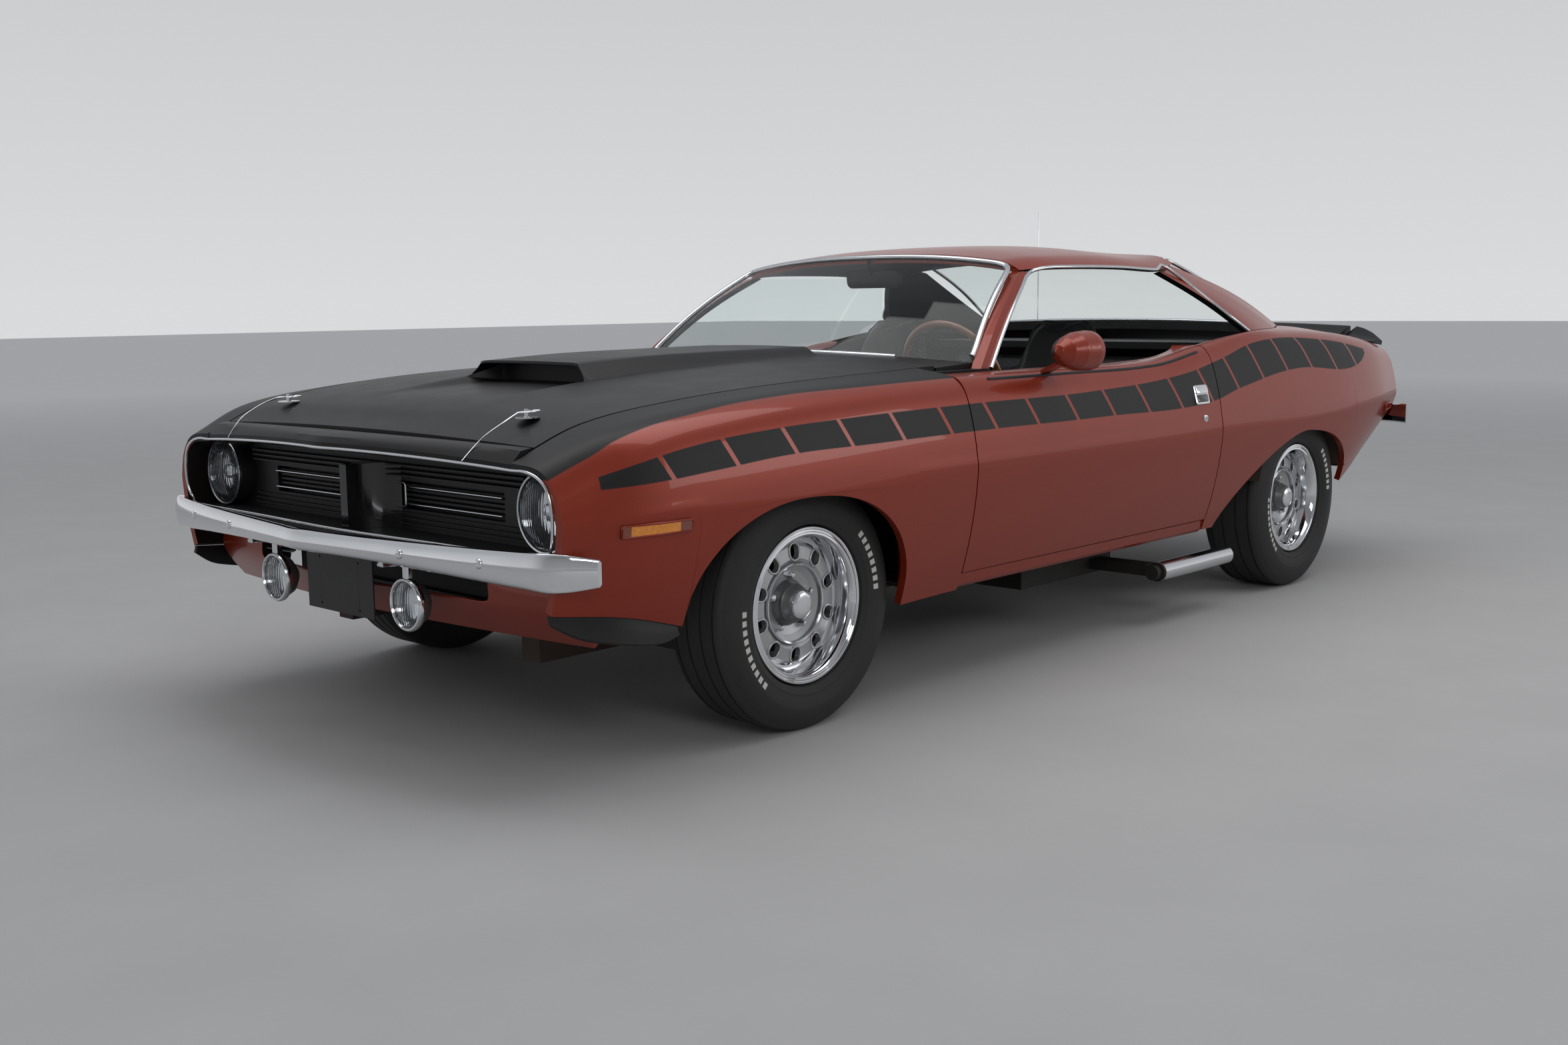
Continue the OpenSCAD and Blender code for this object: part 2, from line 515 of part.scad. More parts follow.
// Quarters, from the door to the tail
module quarter() {
  xs = concat(spread(tail_x, REAR_ARCH[0] - REAR_ARCH[2] - 14, 6), arch_stations(REAR_ARCH, 9),
    [REAR_ARCH[0] + REAR_ARCH[5] + 14, door_rear_x - panel_gap]);
  function section(x) = side_section(x, [deck_half(x), deck_edge_z(x)], lower_z(x));
  color("#b4481c") slab([for (x = xs) place(x, section(x))], [for (x = xs) place(x, inset(section(x), shell_t))]);
}

roof_edge = 8;
module roof() {
  xs = spread(roof_rear_x, roof_front_x, 9);
  vs = concat(spread(-1, -0.82, 5), spread(-0.7, 0.7, 9), spread(0.82, 1, 5));
  function roll(v) = (roof_t - roof_edge) * max(0, (abs(v) - 0.86) / 0.14) ^ 2;
  function end_x(x, v) = x + (x > roof_rear_x + 400 ? 30 : 24) * (1 - v * v) * (x == roof_front_x ? 1 : 0);
  color("#b4481c") slab([for (x = xs) [for (v = vs) let (y = v * rail_half(x)) [end_x(x, v), y, roof_z(x, y) - roll(v)]]],
    [for (x = xs) [for (v = vs) let (y = v * rail_half(x)) [end_x(x, v), y * 0.985, roof_z(x, y) - roof_t]]]);
}

// Windscreen pillars, leaning from the cowl to the roof
module screen_pillars() color("#b4481c") both_sides() {
  foot = [screen_base_x - screen_base_drop - 4, 738, belt_h + 10.3];
  head = [roof_front_x - 8, 590, roof_h - 78 - roof_t - seat_gap];
  bar([for (u = [0:0.2:1]) let (c = mix(foot, head, u) + [10, 6, 16] * sin(180 * u))
    [c + [26, -16, 0], c + [22, 18, 0], c + [-26, 18, 0], c + [-22, -16, 0]]]);
}

// Sail panels between the side windows and the rear window
sail_foot_x = rear_axle_x + 357;
sail_tail_x = rear_axle_x - 190;
module sail_panels() {
  function foot(u) = let (x = mix(sail_foot_x, sail_tail_x, u)) [x, deck_half(x) - 6, deck_edge_z(x) + 1];
  function head(u) = let (x = mix(roof_rear_x + 170, roof_rear_x + 2, u))
    [x, rail_half(x) * 0.985, roof_z(x, rail_half(x)) - roof_t - seat_gap];
  us = spread(0, 1, 8);
  vs = spread(0, 1, 6);
  function skin(u, v) = mix(foot(u), head(u), v) + [0, 26, 14] * sin(180 * v) * (0.4 + 0.6 * u);
  color("#b4481c") both_sides() slab([for (u = us) [for (v = vs) skin(u, v)]], [for (u = us) [for (v = vs) skin(u, v) - [0, 24, 6]]]);
}

// Hood with its scoop: the rows at the mouth fold back under the scoop's lip
scoop_x = front_axle_x + 230;
scoop_flank = 62;
// Rows at the mouth. Columns: x ahead of the scoop's lip, fold back, share of the scoop's height
MOUTH = [[-14, 0, 1], [-6, 6, 0.86], [2, 92, 0.8], [10, 100, -0.28], [22, 12, -0.34]];
ramp_l = 330;
function ramp(x) = -0.34 * scoop_h * (1 - ease((x - scoop_x - 22) / ramp_l));
function ease(s) = s <= 0 ? 0 : s >= 1 ? 1 : s * s * (3 - 2 * s);
function scoop_share(y) = 1 - ease((abs(y) - scoop_half) / scoop_flank);
function scoop_rise(x) = scoop_h * mix(0.55, 1, (x - hood_rear_x) / (scoop_x - hood_rear_x));
module hood() {
  vs = concat(spread(-1, -0.42, 4), spread(-0.36, -0.26, 3), spread(-0.18, 0.18, 4),
    spread(0.26, 0.36, 3), spread(0.42, 1, 4));
  back = spread(hood_rear_x, scoop_x - 40, 8);
  front = spread(scoop_x + 60, hood_front_x, 9);
  function y_at(x, v) = v * (hood_half(x) - 4);
  function tip(x, v) = x == hood_front_x ? 19 * (1 - v * v) : 0;
  function plain(x, v, up) = [x + tip(x, v), y_at(x, v), hood_crown_z(x, y_at(x, v)) + up];
  rows = concat([for (x = back) [x, 0, scoop_rise(x)]],
    [for (m = MOUTH) [scoop_x + m[0], m[1], m[2] * scoop_h]], [for (x = front) [x, 0, ramp(x)]]);
  color("#1d1d1e") slab([for (r = rows) [for (v = vs) let (s = scoop_share(y_at(r[0], v)))
      plain(r[0], v, r[2] * s) - [r[1] * s, 0, 0]]],
    [for (r = rows) [for (v = vs) plain(r[0], v, -lid_t)]]);
}

// Trunk lid, and the ducktail spoiler with end caps on the quarters
function lid_half(x) = deck_half(x) - panel_gap - 6;
function lid_z(x, y) = deck_edge_z(x) + 18 * (1 - (y / deck_half(x)) ^ 2);
module trunk_lid() color("#b4481c") {
  xs = spread(lid_rear_x, lid_front_x, 6);
  vs = spread(-1, 1, 12);
  slab([for (x = xs) [for (v = vs) let (y = v * lid_half(x)) [x, y, lid_z(x, y)]]],
    [for (x = xs) [for (v = vs) let (y = v * lid_half(x)) [x, y, lid_z(x, y) - lid_t]]]);
}
// Spoiler section. Columns: ahead of the tail, height above the deck
SPOILER = [[150, 0.4], [90, 22], [36, 52], [16, 62], [10, 56], [14, 30], [16, 0.4]];
function spoiler_ring(y, k) = [for (p = SPOILER) let (x = tail_x + p[0])
  [x, y, lid_z(x, min(abs(y), lid_half(x))) + max(seat_gap, p[1] * k)]];
module spoiler() color("#1b1b1c")
  bar([for (y = spread(-640, 640, 14)) spoiler_ring(y, 1)]);
module spoiler_ends() color("#1b1b1c") both_sides()
  bar([for (u = [0:0.25:1]) let (y = mix(668, 780, u)) [for (p = SPOILER) let (x = tail_x + p[0])
    [x, y, mix(deck_edge_z(x), belt_z(x), (y - deck_half(x)) / (belt_y(x) - deck_half(x))) + seat_gap
      + p[1] * (1 - u * u * 0.7)]]]);

// Shelf behind the rear seat and the panel below the rear window
function shelf_half(x) = deck_half(x) - 44 - seat_gap;
function shelf_z(x, y) = lid_z(x, y) + (x - lid_front_x - panel_gap) * 0.05;
module rear_shelf() color("#b4481c") {
  x0 = lid_front_x + panel_gap;
  xs = spread(x0, sail_tail_x + 92, 3);
  vs = spread(-1, 1, 12);
  slab([for (x = xs) [for (v = vs) let (y = v * shelf_half(x)) [x, y, shelf_z(x, y)]]],
    [for (x = xs) [for (v = vs) let (y = v * shelf_half(x)) [x, y, lid_z(x, y) - lid_t]]]);
  box([sail_tail_x + 60, -640, belt_h + 17 + seat_gap], [rear_axle_x + 290, 640, belt_h + 44]);
}

// Tail panel between the deck and the bumper, with the valance below
module tail_panel() color("#1b1b1c") {
  box([tail_x + 2, -640, 560], [tail_x + 30, 640, belt_h - 18]);
  both_sides() box([tail_x + 20, 560, belt_h - 30], [tail_x + 30, 600, lid_z(tail_x + 20, 600) - lid_t - seat_gap - 0.3]);
  box([tail_x + 2, -762, 560], [tail_x + 30, 762, belt_h - 52]);
  box([tail_x + 30, -600, trunk_z - 20], [tail_x + 70, 600, 600]);
}
module tail_lamps() color("#8e1a16") both_sides()
  box([tail_x - 8, 190, 700], [tail_x + 2 - seat_gap, 690, 790]);

// Chrome bumpers. Columns: y, set back from the end of the car, low edge, high edge, depth
FRONT_BUMPER = [[0, 0, 505, 558, 44], [300, 36, 500, 560, 44], [640, 80, 488, 563, 36],
  [840, 118, 480, 566, 28], [900, 160, 480, 564, 16], [930, 200, 492, 552, 12]];
REAR_BUMPER = [[0, 0, 562, 640, 20], [640, 4, 562, 642, 20], [800, 6, 562, 643, 16], [880, 20, 561, 643, 10],
  [905, 60, 561, 643, 12]];
module bumper(table, n) {
  y_end = table[len(table) - 1][0];
  function ring(y) = let (a = abs(y), back = along(table, a, 1), lo = along(table, a, 2), hi = along(table, a, 3),
      d = along(table, a, 4), mid = (lo + hi) / 2, x = half_l - back)
    [[x, y, mid], [x - d * 0.2, y, lo + 8], [x - d * 0.5, y, lo], [x - d, y, lo + 6],
      [x - d, y, hi - 6], [x - d * 0.5, y, hi], [x - d * 0.2, y, hi - 8]];
  bar([for (y = spread(-y_end, y_end, n)) ring(y)]);
}
module front_bumper() color("#c9ccd0") {
  bumper(FRONT_BUMPER, 28);
  both_sides() box([core_x + 15 + seat_gap, 352, 502], [half_l - 78, 382, 525]);
}
module rear_bumper() color("#c9ccd0") {
  mirror([1, 0, 0]) bumper(REAR_BUMPER, 20);
  both_sides() box([-half_l + 20, 300, 585], [tail_x + 2 - seat_gap, 360, 620]);
}

// Valance below the bumper with its air slot
function valance_x(y) = nose_x - 20 - 60 * (abs(y) / 795) ^ 1.6;
slot_y = [30, 522];
slot_z = [408, 470];
module front_valance() {
  rows = spread(-797.5, 797.5, 18);
  function profile(y) = let (x = valance_x(y)) [[x - 40, 492], [x - 6, 478], [x, 450], [x - 4, 400], [x - 60, 322]];
  color("#a34420") difference() {
    slab([for (y = rows) [for (p = profile(y)) [p[0], y, p[1]]]],
      [for (y = rows) [for (p = inset(profile(y), 14)) [p[0], y, p[1]]]]);
    both_sides() box([core_x, slot_y[0], slot_z[0]], [nose_x + 50, slot_y[1], slot_z[1]]);
  }
  color("#a34420") both_sides() box([core_x + 15 + seat_gap, 400, 473], [valance_x(420) - 12, 440, 485]);
}
// Lips under the front corners, ahead of the wheels
module chin_spoilers() {
  xs = spread(FRONT_ARCH[0] + FRONT_ARCH[5] + 14, nose_x, 6);
  function drop(x) = 0.35 + 0.65 * max(0, sin(180 * (x - xs[0]) / (nose_x - xs[0]))) ^ 0.6;
  color("#1b1b1c") both_sides() slab([for (x = xs) let (z = lower_z(x) - seat_gap, y = skin_y(x, lower_z(x)) - 3, k = drop(x))
      [[x, y, z], [x, y + 8 * k, z - 26 * k], [x, y + 26 * k, z - 58 * k]]],
    [for (x = xs) let (z = lower_z(x) - seat_gap, y = skin_y(x, lower_z(x)) - 15, k = drop(x))
      [[x, y, z], [x, y + 6 * k, z - 30 * k], [x, y + 22 * k, z - 64 * k]]]);
}

// Windows
module windscreen() {
  rows = spread(-1, 1, 14);
  vs = spread(0, 1, 6);
  function skin(s, v) = mix([screen_low_x(s * 712), s * 712, screen_low_z(s * 712)],
    [screen_top_x(s * 578), s * 578, screen_top_z(s * 578)], v) + [14, 0, 16] * sin(180 * v);
  color("#9fb7bd", 0.45) slab([for (s = rows) [for (v = vs) skin(s, v)]], [for (s = rows) [for (v = vs) skin(s, v) - [0.55, 0, 0.8] * glass_t]]);
}
module rear_window() {
  rows = spread(-1, 1, 12);
  vs = spread(0, 1, 6);
  function foot(s) = [sail_tail_x + 78, s * 628, shelf_z(sail_tail_x + 78, s * 628) + 0.9 * glass_t + seat_gap];
  function head(s) = [roof_rear_x - 8, s * 548, roof_z(roof_rear_x, s * 548) - 6];
  function skin(s, v) = mix(foot(s), head(s), v) + [-12, 0, 18] * sin(180 * v);
  color("#9fb7bd", 0.45) slab([for (s = rows) [for (v = vs) skin(s, v)]], [for (s = rows) [for (v = vs) skin(s, v) - [-0.4, 0, 0.9] * glass_t]]);
}
// Side windows, leaning in from the belt to the drip rail; drawn on the left and mirrored
function side_glass(x, v) = [x, mix(belt_y(x) - 40, rail_half(max(x, roof_rear_x + 200)) - 16, v)];
module side_window(low, high) {
  us = spread(0, 1, 6);
  vs = spread(0, 1, 4);
  function skin(u, v) = let (p = mix(mix(low[0], low[1], u), mix(high[0], high[1], u), v))
    p + [0, 14, 0] * sin(180 * v);
  slab([for (u = us) [for (v = vs) skin(u, v)]], [for (u = us) [for (v = vs) skin(u, v) - [0, 5, 0]]]);
}
window_rear_x = door_rear_x + 2;
window_front_x = screen_base_x - screen_base_drop - 46;
module door_glass_right() color("#9fb7bd", 0.45) mirror([0, 1, 0]) side_window(
  [[window_rear_x + 7, belt_y(door_rear_x) - 36, belt_z(door_rear_x) + 2.4],
    [window_front_x, belt_y(window_front_x) - 36, belt_z(window_front_x) + 2.4]],
  [[window_rear_x + 7, 636, roof_h - 104], [roof_front_x - 40, 604, roof_h - 108]]);
module quarter_glass_right() color("#9fb7bd", 0.45) mirror([0, 1, 0]) side_window(
  [[sail_foot_x + 8, deck_half(sail_foot_x) - 1, belt_z(sail_foot_x) - 8],
    [window_rear_x, deck_half(door_rear_x) - 1, belt_z(window_rear_x) - 8]],
  [[roof_rear_x + 186, 630, roof_h - 108], [window_rear_x, 636, roof_h - 104]]);

// Grille set back in the mouth. Two framed inserts hold fins; the lamps sit outboard
grille_x = nose_x - 124;
lamp_y = 730;
lamp_z = 637;
insert_y = [26, 520];
insert_z = [592, 664];
fin_count = 5;
module grille() color("#161617") {
  difference() {
    box([grille_x, -790, 540], [grille_x + 14, 790, 722]);
    both_sides() {
      box([grille_x - 5, insert_y[0], insert_z[0]], [grille_x + 20, insert_y[1], insert_z[1]]);
      round_x(grille_x - 5, grille_x + 20, lamp_y, lamp_z, headlamp_r - 14);
    }
  }
  both_sides() {
    for (i = [1:fin_count]) let (z = mix(insert_z[0], insert_z[1], i / (fin_count + 1)))
      box([grille_x - 20, insert_y[0] - 6, z - 3], [grille_x + 6, insert_y[1] + 6, z + 3]);
    box([grille_x - 22, insert_y[0] - 8, insert_z[0] - 6], [grille_x - 14, insert_y[1] + 8, insert_z[1] + 6]);
  }
  translate([0, 0, 528]) linear_extrude(13) polygon([[grille_x, -790], [nose_x - 20, -790], [nose_x + 16, 0],
    [nose_x - 20, 790], [grille_x, 790]]);
  box([grille_x + 10, -14, 540], [nose_x, 14, 700]);
  both_sides() box([core_x + 15 + seat_gap, 560, 600], [grille_x + 4, 590, 640]);
}
module headlamps() color("#d6dde0") both_sides() translate([grille_x + 14 + seat_gap, lamp_y, lamp_z]) rotate([0, 90, 0])
  rotate_extrude() polygon([[0, 0], [headlamp_r + 4, 0], [headlamp_r + 6, 40], [headlamp_r, 52], [headlamp_r - 6, 46],
    [headlamp_r * 0.6, 62], [headlamp_r * 0.3, 69], [0, 72]]);
module driving_lamps() color("#c9ccd0") both_sides() translate([nose_x - 28, 306, 389]) {
  rotate([0, 90, 0]) rotate_extrude() polygon([[0, 0], [24, 4], [48, 22], [driving_lamp_r, 52], [driving_lamp_r, 64],
    [driving_lamp_r - 8, 62], [driving_lamp_r * 0.5, 68], [0, 70]]);
  box([44, -9, 50], [62, 9, 106]);
  box([44, -9, 98], [130, 9, 499.7 - 389]);
}
module number_plate() color("#161617") difference() {
  x = nose_x + 22;
  union() {
    box([x, -plate_w / 2, 330], [x + 4, plate_w / 2, 330 + plate_h]);
    box([valance_x(0) + seat_gap, -20, 440], [x, 20, 460]);
  }
  for (y = [-1, 1]) for (z = [-1, 1])
    round_x(x - 1, x + 5, y * plate_holes_w / 2, 330 + plate_h / 2 + z * plate_holes_h / 2, plate_hole_r);
}
// Marker lamps. Columns: middle x, length, middle height, height, stand-off from the skin
MARKERS = [[front_axle_x + 588, 190, 601, 26, 1.9], [rear_axle_x - 845, 150, 640, 26, 0.8]];
module side_markers() color("#c06a1c") both_sides() for (m = MARKERS)
  let (x0 = m[0] - m[1] / 2, x1 = m[0] + m[1] / 2)
  slab([for (x = [x0, m[0], x1]) [for (z = [m[2] - m[3] / 2, m[2] + m[3] / 2]) [x, skin_y(x, z) + 7, z]]],
    [for (x = [x0, m[0], x1]) [for (z = [m[2] - m[3] / 2, m[2] + m[3] / 2]) [x, skin_y(x, z) + m[4], z]]]);

// Cabin
column_y = 385;
column_tilt = 24;
wheel_c = [front_axle_x - 1230, column_y, 856];
module dashboard() color("#161617") {
  along_y(-700, 700) polygon([[hood_rear_x - 30 - seat_gap, belt_h - 328], [hood_rear_x - 30 - seat_gap, belt_h - 75], [screen_base_x - 150, belt_h - 40],
    [screen_base_x - 250, belt_h - 14], [screen_base_x - 290, belt_h - 60], [screen_base_x - 260, belt_h - 248],
    [screen_base_x - 180, belt_h - 328]]);
  translate(wheel_c) rotate([0, 270 + column_tilt, 0]) translate([0, 0, -330]) cylinder(h = 330 - 44 - seat_gap, r = 30);
}
module steering_wheel() color("#5a3218") translate(wheel_c) rotate([0, 270 + column_tilt, 0]) {
  rotate_extrude() translate([steering_r, 0]) circle(r = 12, $fn = 24);
  for (a = [0, 120, 240]) rotate(a + 60) box([20, -11, -14], [steering_r - 6, 11, -8]);
  translate([0, 0, -44]) cylinder(h = 40, r = 34);
}
// Seat side outlines: cushion and raked back
module front_seats() color("#141415") both_sides() along_y(column_y - seat_w / 2, column_y + seat_w / 2) polygon([
  [-330, floor_z + floor_t + seat_gap], [90, floor_z + floor_t + seat_gap], [130, 420], [110, 480], [-270, 440],
  [-430, 1010], [-470, 1060], [-530, 1050], [-520, 980], [-440, 500], [-390, 380]]);
module rear_seat() color("#141415") {
  along_y(-590, 590) polygon([[rear_axle_x + 500, floor_z + 204 + seat_gap], [rear_axle_x + 800, floor_z + 204 + seat_gap],
    [rear_axle_x + 820, 520], [rear_axle_x + 440, 600], [rear_axle_x + 300, belt_h + 17], [rear_axle_x + 235, belt_h + 17],
    [rear_axle_x + 240, trunk_z + 130 + seat_gap], [rear_axle_x + 424, trunk_z + 130 + seat_gap]]);
}

// One mirror, on the driver's side. The car stands half its overhang to the right, so its box stays on the middle
mirror_x = door_front_x - 430;
mirror_arm = 100;
mirror_r = 60;
side_shift = (belt_y(mirror_x) + mirror_arm + mirror_r - half_w) / 2;
module centred() translate([0, -side_shift, 0]) children();
module door_mirror() color("#b4481c") {
  x = mirror_x;
  y = belt_y(x) + mirror_arm;
  translate([x, y, belt_h + 60]) rotate([0, 90, 0])
    rotate_extrude() polygon([[0, -62], [mirror_r - 2, -62], [mirror_r, -40], [mirror_r - 4, 20], [42, 70], [22, 104], [0, 116]]);
  bar([for (u = [0:0.25:1]) let (c = mix([x, belt_y(x) - 10, belt_z(x) - 5], [x, y - 20, belt_h + 40], u))
    [c + [24, 0, 8], c + [-24, 0, 8], c + [-24, 0, -4], c + [24, 0, -4]]]);
}
module hood_pins() color("#c9ccd0") both_sides() {
  p = [front_axle_x + 645, 541];
  translate([p[0], p[1], hood_crown_z(p[0], p[1]) + 8]) {
    cylinder(h = 3, r = 30);
    cylinder(h = 22, r = 6);
  }
}
antenna_x = rear_axle_x - 650;
antenna_base_r = 16;
module antenna() color("#c9ccd0") {
  h = deck_half(antenna_x) + panel_gap;
  y = h + 70;
  fall = (deck_edge_z(antenna_x) - belt_z(antenna_x)) / (belt_y(antenna_x) - h);
  translate([antenna_x, -y, deck_edge_z(antenna_x) - fall * (y - h - antenna_base_r) + seat_gap]) {
    cylinder(h = 14, r = antenna_base_r);
    cylinder(h = 560, r = 2.4);
  }
}

centred() tyre(front_axle_x, front_track / 2, front_tyre_r, front_tyre_w);  // tyre_front_left
centred() tyre(front_axle_x, -front_track / 2, front_tyre_r, front_tyre_w);  // tyre_front_right
centred() tyre(rear_axle_x, rear_track / 2, rear_tyre_r, rear_tyre_w);  // tyre_rear_left
centred() tyre(rear_axle_x, -rear_track / 2, rear_tyre_r, rear_tyre_w);  // tyre_rear_right
centred() wheel(front_axle_x, front_track / 2, front_tyre_r, front_tyre_w);  // wheel_front_left
centred() wheel(front_axle_x, -front_track / 2, front_tyre_r, front_tyre_w);  // wheel_front_right
centred() wheel(rear_axle_x, rear_track / 2, rear_tyre_r, rear_tyre_w);  // wheel_rear_left
centred() wheel(rear_axle_x, -rear_track / 2, rear_tyre_r, rear_tyre_w);  // wheel_rear_right
centred() knuckle(1);  // knuckle_left
centred() knuckle(-1);  // knuckle_right
centred() front_suspension();
centred() rear_axle();
centred() engine();
centred() core_support();
centred() fuel_tank();
centred() exhaust();
centred() floor_pan();
centred() side_frames();
centred() firewall();
centred() aprons();
centred() rear_shelf();
centred() fender();  // fender_left
centred() mirror([0, 1, 0]) fender();  // fender_right
centred() nose();
centred() door();  // door_left
centred() mirror([0, 1, 0]) door();  // door_right
centred() quarter();  // quarter_left
centred() mirror([0, 1, 0]) quarter();  // quarter_right
centred() roof();
centred() screen_pillars();
centred() sail_panels();
centred() hood();
centred() trunk_lid();
centred() spoiler();
centred() spoiler_ends();
centred() tail_panel();
centred() front_valance();
centred() chin_spoilers();
centred() windscreen();
centred() rear_window();
centred() door_glass_right();
centred() quarter_glass_right();
centred() grille();
centred() headlamps();
centred() driving_lamps();
centred() front_bumper();
centred() number_plate();
centred() side_markers();
centred() tail_lamps();
centred() rear_bumper();
centred() dashboard();
centred() steering_wheel();
centred() front_seats();
centred() rear_seat();
centred() door_mirror();  // mirror_left
centred() hood_pins();
centred() antenna();
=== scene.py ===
import bpy, bmesh, json, math
from collections import namedtuple
from mathutils import Vector, Matrix
from mathutils.bvhtree import BVHTree


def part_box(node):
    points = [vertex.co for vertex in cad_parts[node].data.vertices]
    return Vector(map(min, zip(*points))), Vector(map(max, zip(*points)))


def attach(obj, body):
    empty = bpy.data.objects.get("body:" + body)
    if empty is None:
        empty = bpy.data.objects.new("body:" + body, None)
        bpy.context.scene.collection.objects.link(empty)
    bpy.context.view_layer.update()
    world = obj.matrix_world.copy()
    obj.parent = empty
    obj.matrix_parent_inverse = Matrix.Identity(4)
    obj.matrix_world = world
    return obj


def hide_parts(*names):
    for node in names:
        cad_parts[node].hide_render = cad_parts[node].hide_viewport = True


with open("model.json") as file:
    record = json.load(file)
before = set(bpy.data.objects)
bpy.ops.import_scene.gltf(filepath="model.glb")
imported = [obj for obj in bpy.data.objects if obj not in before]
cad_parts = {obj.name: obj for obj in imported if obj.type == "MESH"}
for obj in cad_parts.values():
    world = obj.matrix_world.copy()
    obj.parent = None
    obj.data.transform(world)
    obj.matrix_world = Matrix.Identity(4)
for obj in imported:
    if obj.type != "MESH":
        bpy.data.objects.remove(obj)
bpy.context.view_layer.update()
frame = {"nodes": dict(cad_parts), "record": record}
NODES = frame["nodes"]
BODY_OF = {n: b for b, names in frame["record"]["behaviour"]["bodies"].items() for n in names}
SIDES = (("left", 1), ("right", -1))
# The model stands this far to its right, so that its box with the one mirror is centred
SHIFT = 0.0466286


def at(x, y, z):
    """A point given from the car's own middle."""
    return Vector((x, y - SHIFT, z))


def add(name, data):
    """A new object in the scene."""
    o = bpy.data.objects.new(name, data)
    bpy.context.scene.collection.objects.link(o)
    return o


# Lengths in metres. RIM_HALF is a share of the tyre's width, and DISC_AT a share of the rim's half width

Axle = namedtuple("Axle", "end x radius width half_track")
FRONT = Axle("front", 1.401, 0.327, 0.215, 0.758)
REAR = Axle("rear", -1.342, 0.338, 0.240, 0.771)
RIM_HALF, DISC_AT = 0.39, 0.34
Wheel = namedtuple("Wheel", "tag side centre radius width body")
WHEELS = [Wheel(a.end + "_" + name, s, at(a.x, s * a.half_track, a.radius), a.radius, a.width,
                BODY_OF["tyre_%s_%s" % (a.end, name)]) for a in (FRONT, REAR) for name, s in SIDES]

# Camera, at the photograph's viewing angle

PHOTO_WIDTH_PX, FOCAL_PX, SENSOR_MM = 2352, 2370.5, 36
YAW, PITCH, ROLL = (math.radians(a) for a in (223.05, -7.99, -0.67))
ahead = Vector((math.cos(YAW) * math.cos(PITCH), math.sin(YAW) * math.cos(PITCH), math.sin(PITCH)))
level = Vector((math.sin(YAW), -math.cos(YAW), 0))
above = level.cross(ahead)
right = math.cos(ROLL) * level + math.sin(ROLL) * above
up = math.cos(ROLL) * above - math.sin(ROLL) * level
cam = add("camera", bpy.data.cameras.new("camera"))
turn = Matrix((right, up, -ahead)).transposed().to_4x4()
cam.matrix_world = Matrix.Translation(at(4.3626, 3.5323, 1.1047)) @ turn
cam.data.sensor_width = SENSOR_MM
cam.data.lens = SENSOR_MM * FOCAL_PX / PHOTO_WIDTH_PX
cam.data.clip_end = 200
bpy.context.scene.camera = cam

# Materials


